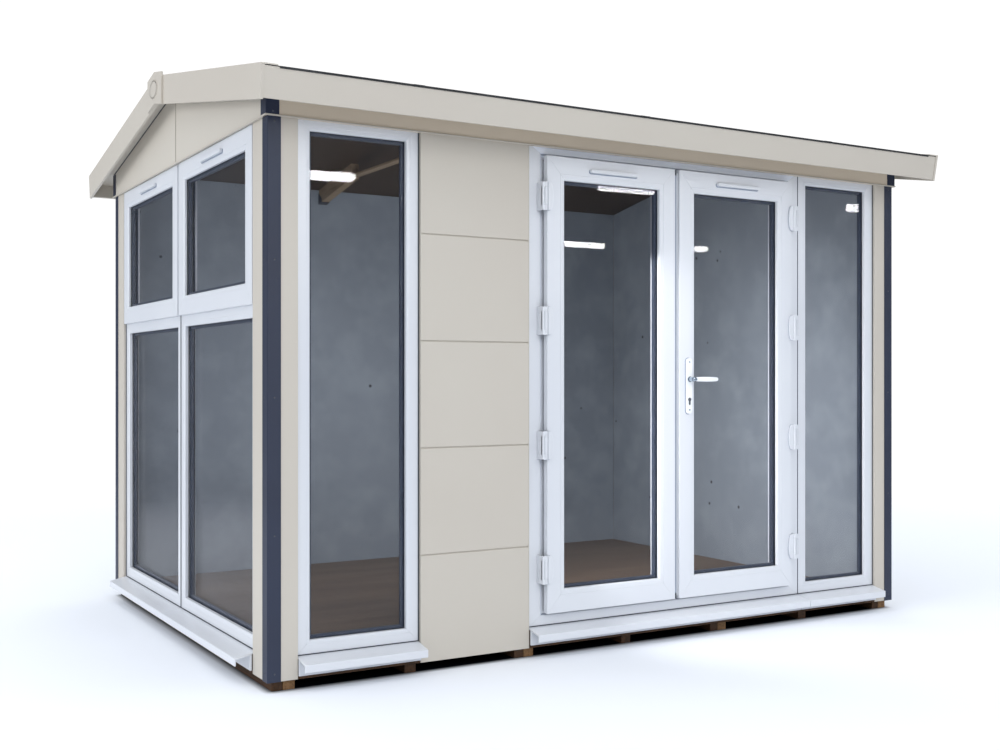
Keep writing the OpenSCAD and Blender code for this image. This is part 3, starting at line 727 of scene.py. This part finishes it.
def makeTrims(name, node, first, count):
    look = trimLook
    shells, screws = [], []
    for low, high in solidsOf(node):
        signX = 1 if low.x < 0 else -1
        signY = 1 if low.y < site["middle"] else -1
        x = low.x if signX > 0 else high.x
        y = low.y if signY > 0 else high.y
        section = angleSection(x, y, signX, signY, high.x - low.x, look["thick"])
        shells.append(bar(2, section, low.z, high.z))
        common = {"Radius": look["screwRadius"], "Step": (0.0, 0.0, look["screwPitch"]), "Count": count}
        onFace = (x + signX * look["screwIn"], y, first)
        onEnd = (x, y + signY * look["screwIn"], first)
        screws.append({**common, "Start": onFace, "Aim": (math.pi / 2 * signY, 0.0, 0.0)})
        screws.append({**common, "Start": onEnd, "Aim": (0.0, -math.pi / 2 * signX, 0.0)})
    put(name, shells, anthraciteCoat, "pod", (node,))
    heads = rowOf(screwRow, screws, dullGalvanised)
    put(name + "Screws", [heads], dullGalvanised, "pod", ())


lowestScrew = boxOf("corner_trims")[1].z - trimLook["screwDown"]
lowestScrew -= (trimLook["screwCount"] - 1) * trimLook["screwPitch"]
makeTrims("cornerTrims", "corner_trims", lowestScrew, trimLook["screwCount"])
makeTrims("headerTrims", "header_trims", boxOf("header_trims")[0].z + trimLook["shortUp"], 1)
print("trims made")

softenedRows(
    ("roofPanelFront", "roof_panel_front", 1.5, creamPlastisol, "cream_cladding"),
    ("roofPanelBack", "roof_panel_back", 1.5, creamPlastisol, "cream_cladding"),
    ("roofMembrane", "roof_covering", 1.0, blackRubberSheet, "black_membrane"),
    ("ceilingBoards", "ceiling_linings", 0.8, brownCeilingBoard, "dark_ceiling"),
    ("fascias", "fascias", 1.8, creamPlastisol, "cream_cladding"),
    ("bargeBoards", "barge_boards", 1.5, creamPlastisol, "cream_cladding"),
    ("rafterPair", "rafters", 1.5, rafterTimber, "beige_rafter"))

lapLook = {
    "pitch": 1050.0, "wide": 45.0, "tall": 2.0, "radius": 0.8, "first": 600.0, "last": 300.0, "short": 8.0,
    "turnDown": 8.0, "edgeIn": 55.0}


# Laps up both slopes of the roof sheet, and the sheet's edge turned down at both eaves
def makeLaps():
    look = lapLook
    low, high = boxOf("roof_covering")
    eave = low.z + site["sheet"]
    across = site["middle"] - low.y
    run = across - look["short"]
    first = low.x + look["first"]
    common = {
        "Width": look["wide"], "Height": look["tall"], "Radius": look["radius"],
        "Step": (look["pitch"], 0.0, 0.0),
        "Count": int((high.x - look["last"] - first) // look["pitch"]) + 1}
    rows, edges = [], []
    for y, sign in ((low.y, 1), (2 * site["middle"] - low.y, -1)):
        rows.append({
            **common, "Start": (first, y + sign * 2, eave + look["tall"] / 2 - 0.4),
            "Run": (0.0, sign * run, (high.z - eave) * run / across)})
        outer, inner, foot = y - sign * 1.5, y + sign * 0.9, eave - look["turnDown"]
        section = rounded([(outer, foot, 0.5), (inner, foot, 0), (inner, eave, 0), (outer, eave, 0.8)], 2)
        edges.append(bar(0, section, low.x + look["edgeIn"], high.x - look["edgeIn"]))
    laps = rowOf(barRow, rows, blackRubberSheet)
    put("membraneLaps", [laps, *edges], blackRubberSheet, "pod", ())


makeLaps()

# Each ring is how far it stands out of the plate and its share of the boss's width and height
bossLook = {
    "wide": 120.0, "tall": 80.0, "out": 4.0, "down": 78.0, "sides": 48, "rings": (
        (-1.0, 1.0), (1.6, 1.0), (3.6, 0.985), (4.0, 0.95), (4.0, 0.88), (2.2, 0.84), (2.7, 0.5), (3.1, 0.1))}


def makeRidgePlates():
    look = bossLook
    bosses = []
    for low, high in solidsOf("ridge_plates"):
        sign = -1 if low.x < 0 else 1
        face = low.x + look["out"] if sign < 0 else high.x - look["out"]
        centre = (site["middle"], high.z - look["down"])
        halfWide, halfTall = look["wide"] / 2, look["tall"] / 2
        bosses.append(stack([
            ringLoop(0, centre, face + sign * out, halfWide * share, halfTall * share, look["sides"])
            for out, share in look["rings"]]))
    softened("ridgePlates", "ridge_plates", 1.2, creamPlastisol)
    put("ridgeBosses", bosses, creamPlastisol, "pod", ())


makeRidgePlates()
softened("rafterHangers", "rafter_hangers", 0.5, dullGalvanised)
print("roof made")

softenedRows(
    ("gableSills", "gable_sills", 2.0, whiteUpvc, "white_upvc"),
    ("windowSill", "window_sill", 2.0, whiteUpvc, "white_upvc"),
    ("doorSills", "door_sills", 2.0, whiteUpvc, "white_upvc"))

glassLook = {
    "pane": 4.0, "hide": 8.0, "play": 0.6, "unit": 24.0, "spacer": 8.0, "show": 12.5, "gasket": 1.6,
    "gasketLip": 3.4, "shadeSheet": 1.2, "shadeSheetFrom": 3.0, "shadeSheetShort": 9.0, "shadeSheetLeast": 15.0}


# A glazed profile: a flat face, a fine joint line, a sloped bead, and the groove for the glass.
def beadOutline(width, depth, seat, flat, core=0.0, flange=0.0):
    front, back = seat - 0.4, seat + glassLook["unit"] + 0.4
    groove = width - glassLook["hide"] - 0.3
    corners = [
        (0, 0, 2.2), (flat, 0, 0.8), (flat + 0.5, 1.4, 0), (flat + 1.6, 1.4, 0), (flat + 2.0, 0.5, 0.6),
        (width - 3.5, 1.8, 1.5), (width, 4.5, 1.5), (width, front, 0), (groove, front, 0), (groove, back, 0),
        (width, back, 1.0), (width, depth, 1.5)]
    if core:
        corners += [(core, depth, 1.0), (core, flange, 0), (0, flange, 1.0)]
    else:
        corners += [(0, depth, 1.0)]
    return rounded(corners, 2)


# Panes, spacer bars, gaskets, and a dark sheet of painted shade where the profile is deep behind the glass.
# Each opening is its sight rectangle and how its points are placed.
def glazing(name, openings, seat, body, node, deep):
    look = glassLook
    back = seat + look["unit"]
    hide = look["hide"] - look["play"]
    near, far = seat + look["pane"] + 0.8, back - look["pane"] - 0.8
    # the band reaches past the spacer into the sight: the extra is painted shade of the frame inside
    reach = look["spacer"] + look["show"] - 1
    band = rounded([(0, near, 0), (reach, near, 0.6), (reach, far, 0.6), (0, far, 0)], 1)
    panes, darkBands, gaskets = [], [], []
    for rect, place in openings:
        for face in (seat + look["play"], back - look["pane"] - look["play"]):
            panes.append(slab(shrunk(rect, -hide, -hide), place, face, face + look["pane"]))
        darkBands += mitred(shrunk(rect, 1 - hide, 1 - hide), band, place, gap=0.0)
        for start, end in ((seat - look["gasketLip"], seat + 0.4), (back - 0.4, back + look["gasketLip"])):
            middle = (start + end) / 2
            ring = rounded([
                (0, start, 0.5), (look["gasket"], middle - 0.6, 0.5), (look["gasket"], middle + 0.6, 0.5),
                (0, end, 0)], 1)
            gaskets += mitred(rect, ring, place, gap=0.0)
        # a dark sheet on the deep profile behind the glass: painted shade of the frame inside
        if deep > back + look["shadeSheetLeast"]:
            start, end = back + look["shadeSheetFrom"], deep - look["shadeSheetShort"]
            shadeSheet = [(0, start), (look["shadeSheet"], start), (look["shadeSheet"], end), (0, end)]
            darkBands += mitred(rect, shadeSheet, place, gap=0.0)
    put(name + "Panes", panes, paneGlass, body, (node,))
    put(name + "SpacersAndShade", darkBands, spacerAndPaintedShade, body, ())
    put(name + "Gaskets", gaskets, blackGasket, body, ())


fixedLook = {"width": 53.0, "flat": 37.0, "seat": 20.0, "deep": 50.0}


def makeFixed(name, node):
    look = fixedLook
    low, high = boxOf(node)
    place = onFront(low.y)
    rect = (low.x, low.z, high.x, high.z)
    outline = beadOutline(look["width"], high.y - low.y, look["seat"], look["flat"])
    put(name, mitred(rect, outline, place), whiteUpvc, "pod", (node,))
    return shrunk(rect, look["width"], look["width"]), place


fixedLights = [makeFixed("tallWindowFrame", "window_frame"), makeFixed("sidelightFrame", "sidelight_frame")]
glazing("frontWindow", fixedLights, fixedLook["seat"], "pod", "front_glass", fixedLook["deep"])

gableLook = {
    "width": 53.0, "flat": 37.0, "seat": 20.0, "deep": 50.0, "carcass": 44.0, "play": 0.4,
    "transomOver": 11.0, "transomUnder": 49.0, "sash": 84.0, "sashSeat": 16.0, "sashFlat": 64.0,
    "sashDeep": 60.0, "sashCore": 37.0, "sashFlange": 14.4}


# Each end window: a fixed lower light, and a top-hung sash over the transom
def makeGable():
    look = gableLook
    play = look["play"]
    frames, sashes, lower, upper = [], [], [], []
    for (low, high), (sashLow, sashHigh) in zip(solidsOf("gable_frames"), solidsOf("gable_sashes")):
        place = onGable(low.x)
        depth = high.x - low.x
        transomTop = sashLow.z + look["transomOver"]
        transomFoot = sashLow.z - look["transomUnder"]
        outline = beadOutline(look["width"], depth, look["seat"], look["flat"])
        rect = (low.y, low.z, high.y, transomTop)
        frames += mitred(rect, outline, place, sides="lrf")
        frames += mitred(
            rect, outline, place, [(0, 0), (look["width"], transomTop - transomFoot)], sides="h")
        lower.append((
            (low.y + look["width"], low.z + look["width"], high.y - look["width"], transomFoot), place))
        jamb = rounded([
            (0, 0, 2.2), (look["carcass"], 0, 1.5), (look["carcass"], depth, 1.5), (0, depth, 1.0)], 2)
        # the head is mitred to the two jambs, and the jambs stand square on the transom
        for edge, side in ((low.y, 1), (high.y, -1)):
            frames.append(prism(
                [place(edge + side * a, transomTop + play, w) for a, w in jamb],
                [place(edge + side * a, high.z - a - play, w) for a, w in jamb]))
        frames.append(prism(
            [place(low.y + a + play, high.z - a, w) for a, w in jamb],
            [place(high.y - a - play, high.z - a, w) for a, w in jamb]))
        place = onGable(sashLow.x)
        rect = (sashLow.y, sashLow.z, sashHigh.y, sashHigh.z)
        outline = beadOutline(
            look["sash"], sashHigh.x - sashLow.x, look["sashSeat"], look["sashFlat"], look["sashCore"],
            look["sashFlange"])
        sashes += mitred(rect, outline, place)
        upper.append((shrunk(rect, look["sash"], look["sash"]), place))
    put("gableFrames", frames, whiteUpvc, "pod", ("gable_frames",))
    put("gableSashes", sashes, whiteUpvc, "pod", ("gable_sashes",))
    glazing("gableLower", lower, look["seat"], "pod", "gable_glass", look["deep"])
    glazing("gableUpper", upper, look["sashSeat"], "pod", "gable_glass", look["sashDeep"])


makeGable()

beadLook = {"wide": 3.2, "doorWide": 0.8, "out": 3.0, "in": 0.5, "short": 16.0}


# Thin dark beads down one side and along the foot of each frame: sealant, and painted shade where the frame
# meets its neighbour
def makeBeads():
    look = beadLook
    beads = []
    for node in ("window_frame", "sidelight_frame", "door_frame", "gable_frames"):
        wide = look["doorWide"] if node == "door_frame" else look["wide"]
        for low, high in solidsOf(node):
            onSide = node == "gable_frames"
            place = onGable(low.x) if onSide else onFront(low.y)
            u0, u1 = (low.y, high.y) if onSide else (low.x, high.x)
            foot, side = (u0, low.z, u1, low.z + look["wide"]), (u1 - wide, low.z, u1, high.z - look["short"])
            beads += [slab(rect, place, -look["out"], look["in"]) for rect in (foot, side)]
    put("frameSealAndShadeLines", beads, darkSealantAndShade, "pod", ())


makeBeads()
print("windows made")

doorLook = {"side": 64.0, "rail": 44.0, "stopSide": 80.0, "stopRail": 60.0, "stopDeep": 9.0}


def makeDoorFrame():
    low, high = boxOf("door_frame")
    look = doorLook
    place = onFront(low.y)
    depth = high.y - low.y
    rule = [(0, 0), (look["side"], look["rail"]), (look["stopSide"], look["stopRail"])]
    outline = rounded([
        (0, 0, 2.2), (look["side"] - 4, 0, 1.5), (look["side"], 4, 1.0), (look["side"], look["stopDeep"], 0),
        (look["stopSide"], look["stopDeep"], 1.5), (look["stopSide"], depth, 1.5), (0, depth, 1.0)], 2)
    rect = (low.x, low.z, high.x, high.z)
    posts = mitred(rect, outline, place, rule, sides="lrf")
    put("doorFrame", posts, whiteUpvc, "pod", ("door_frame",))
    # the head takes the paler uPVC, painted light in the shade under the header
    put("doorFrameHead", mitred(rect, outline, place, rule, sides="h"), upvcPaintedLight, "pod", ())
    seal = rounded([
        (look["side"] + 0.1, look["stopDeep"] - 5, 1.2), (look["side"] + 4.5, look["stopDeep"] - 3, 1.2),
        (look["side"] + 4.5, look["stopDeep"] - 0.1, 0), (look["side"] + 0.1, look["stopDeep"] - 0.1, 0)], 2)
    # the seal is grey along the foot and head, painted shade in the gap round the leaves, and takes the paler
    # uPVC down the sides, painted light
    for name, sides, finish in (("doorFrameSeal", "fh", greyPaintedShadow), ("doorFrameSideSeal", "lr", upvcPaintedLight)):
        put(name, mitred(rect, seal, place, rule, gap=0.0, sides=sides), finish, "pod", ())


leafLook = {"stile": 86.0, "rail": 98.0, "flat": 64.0, "seat": 20.0, "core": 13.2, "flange": 29.6}


def makeLeaf(side):
    low, high = boxOf(side + "_door")
    body = side + "_leaf"
    look = leafLook
    place = onFront(low.y)
    rule = [(0, 0), (look["stile"], look["rail"])]
    depth = high.y - low.y
    rect = (low.x, low.z, high.x, high.z)
    outline = beadOutline(look["stile"], depth, look["seat"], look["flat"], look["core"], look["flange"])
    members = mitred(rect, outline, place, rule)
    put(side + "Leaf", members, whiteUpvc, body, (side + "_door",))
    sight = shrunk(rect, look["stile"], look["rail"])
    glazing(side + "Leaf", [(sight, place)], look["seat"], body, side + "_door_glass", depth)


makeDoorFrame()
makeLeaf("left")
makeLeaf("right")
softened("meetingStrip", "meeting_strip", 1.5, whiteUpvc, "right_leaf")

gapLook = {"play": 0.6, "front": 4.0, "back": 9.0, "end": 26.0}


# The gap between the leaves: painted shade, grey down its length, with a dark block for the shaded opening at
# each end
def makeMeetingGap():
    look = gapLook
    left, right = boxOf("left_door")[1], boxOf("right_door")[0]
    x0, x1 = left.x + look["play"], boxOf("meeting_strip")[0].x + 0.3
    y0, y1 = right.y + look["front"], right.y + look["back"]
    foot, head, end = right.z, left.z, look["end"]
    length = block((x0, y0, foot + end + 1), (x1, y1, head - end - 1), 0.5)
    ends = [block((x0, y0, z), (x1, y1, z + end - 1), 0.5) for z in (foot + 1, head - end)]
    put("meetingGapShade", [length], greyPaintedShadow, "right_leaf", ())
    put("meetingGapEndShades", ends, darkSealantAndShade, "right_leaf", ())


makeMeetingGap()
print("doors made")

hingeLook = {
    "edge": 1.4, "radius": 9.0, "arm": 10.0, "bow": 26.0, "proud": 10.6, "ease": 1.2, "rimNear": 4.4,
    "rimFar": 5.6, "rimOut": 0.8, "steps": 16, "cover": 8.4, "coverFrom": 3.0, "coverTo": 17.0, "end": 20.0}


# The bowed plate on a leaf beside each hinge, with a thin grey rim around its middle: the flag's joint, drawn
# in painted shadow
def makeFlags(side, sign):
    look = hingeLook
    face = boxOf(side + "_door")[0].y
    plates, rims = [], []
    for low, high in solidsOf(side + "_door_hinges"):
        pivot = low.x + look["radius"] if sign > 0 else high.x - look["radius"]
        start = pivot + sign * look["arm"]
        middle, half = (low.z + high.z) / 2, (high.z - low.z) / 2

        def loop(out, grow):
            y, tall = face - out, half + grow
            points = [(start, y, middle + tall), (start, y, middle - tall)]
            for k in range(look["steps"] + 1):
                turn = math.pi * (k / look["steps"] - 0.5)
                bow = look["bow"] * (0.35 + 0.65 * math.cos(turn)) + grow
                points.append((start + sign * bow, y, middle + tall * math.sin(turn)))
            return points
        plates.append(stack([
            loop(-0.2, -0.2), loop(look["proud"] - look["ease"], -0.2), loop(look["proud"], -1.4)]))
        rims.append(stack([loop(look["rimNear"], look["rimOut"]), loop(look["rimFar"], look["rimOut"])]))
    leaf = side + "_leaf"
    put(side + "HingeFlags", plates, whiteUpvc, leaf, ())
    put(side + "HingeShadowRims", rims, greyPaintedShadow, leaf, ())
    softened(side + "LeafHinges", side + "_door_hinges", look["edge"], whiteUpvc, leaf)


# The fixed halves of the hinges, with a cover that fills the space beside each sleeve
def makeHinges():
    look = hingeLook
    covers = [mergedCopy("frame_hinges")]
    for low, high in solidsOf("frame_hinges"):
        sign = 1 if low.x < 0 else -1
        outer = low.x if sign > 0 else high.x
        a, b = sorted((outer, outer + sign * look["cover"]))
        foot, head = low.z + look["end"] - 1, high.z - look["end"] + 1
        covers.append(block((a, low.y + look["coverFrom"], foot), (b, low.y + look["coverTo"], head), 2.0))
    put("frameHinges", covers, whiteUpvc, "pod", ("frame_hinges",), edge=look["edge"])
    makeFlags("left", 1)
    makeFlags("right", -1)


makeHinges()

ventLook = {"shadowDown": 2.5, "shadowLonger": 4.0, "shadowTaller": 1.0, "hoodShorter": 2.0, "hoodSlimmer": 1.0}


# A round-ended bar; levels are (shrink, depth) pairs from the wall outwards.
def capsule(centreU, centreV, length, radius, place, levels, sides=24):
    half = length / 2 - radius
    loops = []
    for shrink, depth in levels:
        loop = []
        for k in range(sides):
            turn = 2 * math.pi * (k + 0.5) / sides
            u = centreU + math.copysign(half, math.cos(turn)) + (radius - shrink) * math.cos(turn)
            loop.append(place(u, centreV + (radius - shrink) * math.sin(turn), depth))
        loops.append(loop)
    return stack(loops)


# A ventilator: a base and a hood with a slot between them, over a grey seat set a little low that is painted
# shadow round it
def makeVents(name, node, body, place, acrossAxis, faceAxis):
    look = ventLook
    hoods, shadowRings = [], []
    for low, high in solidsOf(node):
        u, v = (low[acrossAxis] + high[acrossAxis]) / 2, (low.z + high.z) / 2
        length = high[acrossAxis] - low[acrossAxis]
        radius = (high.z - low.z) / 2
        front = low[faceAxis] - high[faceAxis]
        placed = place(high[faceAxis])
        shadowRings.append(capsule(
            u, v - look["shadowDown"], length + look["shadowLonger"], radius + look["shadowTaller"], placed,
            [(0, 0.0), (0, -2.0), (0.6, -2.6)]))
        hoods.append(capsule(
            u, v, length - look["hoodShorter"], radius - look["hoodSlimmer"], placed,
            [(0, -2.0), (0, -4.0), (2.0, -4.6), (2.0, -6.6), (0, -7.2), (0, front + 3), (1.0, front + 0.8),
             (3.0, front)]))
    put(name, hoods, whiteUpvc, body, (node,))
    put(name + "PaintedShadows", shadowRings, greyPaintedShadow, body, ())


makeVents("gableVents", "gable_vents", "pod", onGable, 1, 0)
makeVents("leftLeafVent", "left_door_vent", "left_leaf", onFront, 0, 1)
makeVents("rightLeafVent", "right_door_vent", "right_leaf", onFront, 0, 1)

handleLook = {
    "edge": 2.0, "shadowLong": 252.0, "shadowHalf": 17.0, "shadowDown": 30.0, "shadowSide": 4.0, "screwRadius": 4.2,
    "screwRise": 76.0, "screwDrop": 136.0, "keyDrop": 99.0, "keyRadius": 8.5, "keyUp": 9.0, "keyDown": 16.0,
    "keyHalf": 5.0}


# The middle of the handle plates and the height of the lever's pivot
def leverPivot():
    plates, lever = boxOf("handle_plates"), boxOf("door_lever")
    return (plates[0].x + plates[1].x) / 2, (lever[0].z + lever[1].z) / 2


def makeHandlePlates():
    look = handleLook
    low, high = boxOf("handle_plates")
    x, z = leverPivot()
    key = z - look["keyDrop"]
    screws, keys = [], []
    for face, sign in ((low.y, 1), (high.y, -1)):
        for rise in (look["screwRise"], -look["screwDrop"]):
            screws.append({
                "Radius": look["screwRadius"], "Start": (x, face, z + rise),
                "Aim": (math.pi / 2 * sign, 0.0, 0.0)})
        keys.append(tube(1, (x, key + look["keyUp"]), look["keyRadius"], face - 0.8 * sign, face + sign))
        near, far = sorted((face - 0.7 * sign, face + sign))
        keys.append(block(
            (x - look["keyHalf"], near, key - look["keyDown"]),
            (x + look["keyHalf"], far, key + look["keyUp"]), 4.9, 1))
    # a grey plate behind the handle plate, shifted left and down: painted shadow along its left and lower
    # edges
    seat = capsule(
        z - look["shadowDown"], x - look["shadowSide"], look["shadowLong"], look["shadowHalf"],
        lambda u, v, w: (v, low.y + 8 + w, u), [(0, 0.2), (0, -2.2)])
    softened("handlePlates", "handle_plates", look["edge"], whiteLacquer, "right_leaf")
    put("handlePlateShadow", [seat], greyPaintedShadow, "right_leaf", ())
    heads = rowOf(screwRow, screws, chromePlate)
    put("handleScrews", [heads], chromePlate, "right_leaf", ())
    put("keyCylinders", keys, dullGalvanised, "right_leaf", ())


# neck: distance from the plate and radius; rings: distance from the lever's outer face, width and radius
leverLook = {
    "spindle": 4.9, "reach": 46.0, "bladeIn": 9.0, "bladeFrom": 2.0, "tall": 11.0, "thick": 6.5, "steps": 26,
    "least": 0.08, "neck": (
        (0.0, 12.0), (1.5, 12.5), (4.0, 12.5), (5.0, 10.5), (26.0, 10.5), (38.0, 10.0), (44.0, 7.0),
        (45.8, 4.0)),
    "rings": ((39.5, 4.5, 12.2), (13.5, 2.5, 10.9))}


def makeLever():
    look = leverLook
    low, high = boxOf("door_lever")
    x, z = leverPivot()
    necks = [tube(1, (x, z), look["spindle"], low.y + 8, high.y - 8, 20)]
    blades, rings = [], []
    start = x + look["bladeFrom"]
    for outer, sign in ((low.y, 1), (high.y, -1)):
        root = outer + sign * look["reach"]
        necks.append(stack([
            ringLoop(1, (x, z), root - sign * run, radius, radius, 28) for run, radius in look["neck"]]))
        blade = []
        for k in range(look["steps"] + 1):
            share = k / look["steps"]
            swell = 0.7 + 0.3 * math.sin(math.pi * (0.12 + 0.78 * share))
            tip = max(0.0, (share - 0.9) / 0.1)
            size = max(math.sqrt(max(0.0, 1 - tip ** 2)), look["least"])
            blade.append(ringLoop(
                0, (outer + sign * look["bladeIn"], z), start + share * (high.x - start),
                look["thick"] * (0.8 + 0.2 * swell) * size, look["tall"] * swell * size, 24))
        blades.append(stack(blade))
        for run, wide, radius in look["rings"]:
            a, b = sorted((outer + sign * run, outer + sign * (run + wide)))
            rings.append(tube(1, (x, z), radius, a, b, 28, 0.4))
    put("leverBlades", blades, whiteLacquer, "handle", ("door_lever",))
    put("leverNecks", necks, chromePlate, "handle", ())
    put("leverRings", rings, darkSealantAndShade, "handle", ())


makeHandlePlates()
makeLever()
print("fittings made")

studioLook = {
    "floorSize": 40.0, "floorDown": 0.0005, "fadeFrom": 3.2, "fadeTo": 8.5, "underOut": 0.012,
    "underIn": 0.03, "levelLight": 0.62, "topLight": 1.4, "seenWhite": 1.05, "mirrorLight": 0.4,
    "stripLight": 60.0, "spread": 125}

# Soft boxes in metres and watts: place, aim, width, height, power, and whether it only fills the room
softBoxes = {
    "frontBox": ((-1.6, -8.4, 4.6), (0.5, -1, 1.0), 5.0, 3.5, 160.0, False),
    "gableBox": ((-7.0, 0.4, 2.6), (-1.6, 0, 1.1), 4.5, 3.0, 125.0, False),
    "roomBox": ((0.0, -0.75, 1.0), (1.6, -1.0, 0.6), 1.5, 1.4, 16.0, True),
    "backBox": ((-0.9, -0.7, 0.9), (0.2, 1.1, 1.5), 1.1, 1.1, 9.0, True)}

# Strip lights far in front, which the panes mirror as short bright lines: left, right, depth, low and high
# in metres, and how much each rises to the right
stripLights = [
    (-0.6, 1.84, -8.2, 3.095, 3.185, 0.037), (4.8, 5.75, -8.2, 3.285, 3.34, 0.0),
    (8.85, 9.9, -8.2, 3.335, 3.435, 0.0), (6.4, 7.75, -12.2, 3.14, 3.22, 0.0),
    (9.2, 9.8, -12.2, 3.2, 3.28, 0.0)]


# A pale floor that fades into the white behind it a few metres from the object.
def makeFloor():
    look = studioLook
    finish, tree, out = startFinish("paleStudioFloor")
    spot = addNode(tree, "ShaderNodeTexCoord").outputs["Object"]
    far = addNode(tree, "ShaderNodeVectorMath", {"operation": "LENGTH"}, {0: spot})
    fade = addNode(
        tree, "ShaderNodeMapRange",
        {"interpolation_type": "SMOOTHERSTEP", "From Min": look["fadeFrom"], "From Max": look["fadeTo"]},
        {"Value": far.outputs["Value"]})
    # the floor under the object is painted nearly black, painted shadow where no light gets under it
    parts = addNode(tree, "ShaderNodeSeparateXYZ", None, {0: spot})
    shares = []
    for axis, size in (("X", site["right"] - site["left"]), ("Y", site["back"] - site["front"])):
        half = size / 2000
        away = addNode(tree, "ShaderNodeMath", {"operation": "ABSOLUTE"}, {0: parts.outputs[axis]})
        shares.append(addNode(
            tree, "ShaderNodeMapRange",
            {"From Min": half + look["underOut"], "From Max": half - look["underIn"]},
            {"Value": away.outputs[0]}))
    under = addNode(
        tree, "ShaderNodeMath", {"operation": "MULTIPLY"}, {0: shares[0].outputs[0], 1: shares[1].outputs[0]})
    tone = addNode(
        tree, "ShaderNodeMix", {"data_type": "RGBA", 6: (0.89, 0.92, 0.97, 1), 7: (0.004, 0.005, 0.008, 1)},
        {0: under.outputs[0]})
    matt = addNode(tree, "ShaderNodeBsdfDiffuse", None, {"Color": tone.outputs[2]})
    gone = addNode(tree, "ShaderNodeBsdfTransparent")
    both = addNode(
        tree, "ShaderNodeMixShader", None, {0: fade.outputs[0], 1: matt.outputs[0], 2: gone.outputs[0]})
    tree.links.new(both.outputs[0], out.inputs[0])
    half = look["floorSize"] / 2
    data = bpy.data.meshes.new("studioFloor")
    corners = [(-half, -half, 0), (half, -half, 0), (half, half, 0), (-half, half, 0)]
    data.from_pydata(corners, [], [(0, 1, 2, 3)])
    data.materials.append(finish)
    floor = bpy.data.objects.new("studioFloor", data)
    floor.location.z = -look["floorDown"]
    bpy.context.scene.collection.objects.link(floor)


# White to the eye, a softer dome for light, brightest overhead, and dimmer again in reflections.
def makeWorld():
    look = studioLook
    world = bpy.data.worlds.new("softStudio")
    world.use_nodes = True
    bpy.context.scene.world = world
    tree = world.node_tree
    tree.nodes.clear()
    out = addNode(tree, "ShaderNodeOutputWorld")
    seen = addNode(tree, "ShaderNodeLightPath")
    spot = addNode(tree, "ShaderNodeTexCoord").outputs["Generated"]
    height = addNode(tree, "ShaderNodeSeparateXYZ", None, {0: spot})
    rise = addNode(
        tree, "ShaderNodeMapRange",
        {"From Min": 0.05, "From Max": 0.9, "To Min": look["levelLight"], "To Max": look["topLight"]},
        {"Value": height.outputs["Z"]})
    white = addNode(tree, "ShaderNodeBackground", {"Color": (1, 1, 1, 1), "Strength": look["seenWhite"]})
    soft = addNode(tree, "ShaderNodeBackground", {"Color": linear("#f1f5fb")}, {"Strength": rise.outputs[0]})
    mirror = addNode(
        tree, "ShaderNodeBackground", {"Color": linear("#c9d3e2"), "Strength": look["mirrorLight"]})
    mix = soft
    for ray, other in (("Is Glossy Ray", mirror), ("Is Camera Ray", white)):
        mix = addNode(
            tree, "ShaderNodeMixShader", None, {0: seen.outputs[ray], 1: mix.outputs[0], 2: other.outputs[0]})
    tree.links.new(mix.outputs[0], out.inputs[0])


def makeLights():
    for name, (place, aim, wide, tall, power, fills) in softBoxes.items():
        lamp = bpy.data.lights.new(name, "AREA")
        lamp.shape, lamp.size, lamp.size_y, lamp.energy = "RECTANGLE", wide, tall, power
        box = bpy.data.objects.new(name, lamp)
        box.location = place
        box.rotation_mode = "QUATERNION"
        box.rotation_quaternion = (Vector(aim) - Vector(place)).to_track_quat("-Z", "Y")
        box.visible_camera = False
        if fills:
            lamp.spread = math.radians(studioLook["spread"])
            box.visible_glossy = False
        bpy.context.scene.collection.objects.link(box)

    finish, tree, out = startFinish("stripGlow")
    glow = addNode(tree, "ShaderNodeEmission", {"Strength": studioLook["stripLight"]})
    tree.links.new(glow.outputs[0], out.inputs[0])
    for number, (left, right, depth, low, high, lean) in enumerate(stripLights):
        middle = (left + right) / 2
        shell = capsule(
            middle, (low + high) / 2, right - left, (high - low) / 2,
            lambda u, v, w: (u, depth + w, v + lean * (u - middle)), [(0, 0), (0, 0.02)])
        data = bpy.data.meshes.new("stripLight")
        data.from_pydata(shell[0], [], shell[1])
        data.materials.append(finish)
        strip = bpy.data.objects.new(f"stripLight{number}", data)
        bpy.context.scene.collection.objects.link(strip)
        strip.visible_camera = strip.visible_diffuse = strip.visible_shadow = False


# Lens and sensor in millimetres, place in metres, turn in degrees from straight ahead to the right
cameraLook = {
    "lens": 43.51, "sensor": 36.0, "shift": 0.00268, "place": (-3.1421, -5.3867, 1.1510), "turn": 30.608}


def makeCamera():
    look = cameraLook
    camera = bpy.data.objects.new("camera", bpy.data.cameras.new("camera"))
    camera.data.lens, camera.data.sensor_width = look["lens"], look["sensor"]
    camera.data.shift_y = look["shift"]
    camera.data.clip_end = 200
    camera.location = look["place"]
    camera.rotation_euler = (math.radians(90), 0, -math.radians(look["turn"]))
    bpy.context.scene.collection.objects.link(camera)
    bpy.context.scene.camera = camera
    bpy.context.scene.view_settings.view_transform = "Standard"


makeFloor()
makeWorld()
makeLights()
makeCamera()
print("studio made")
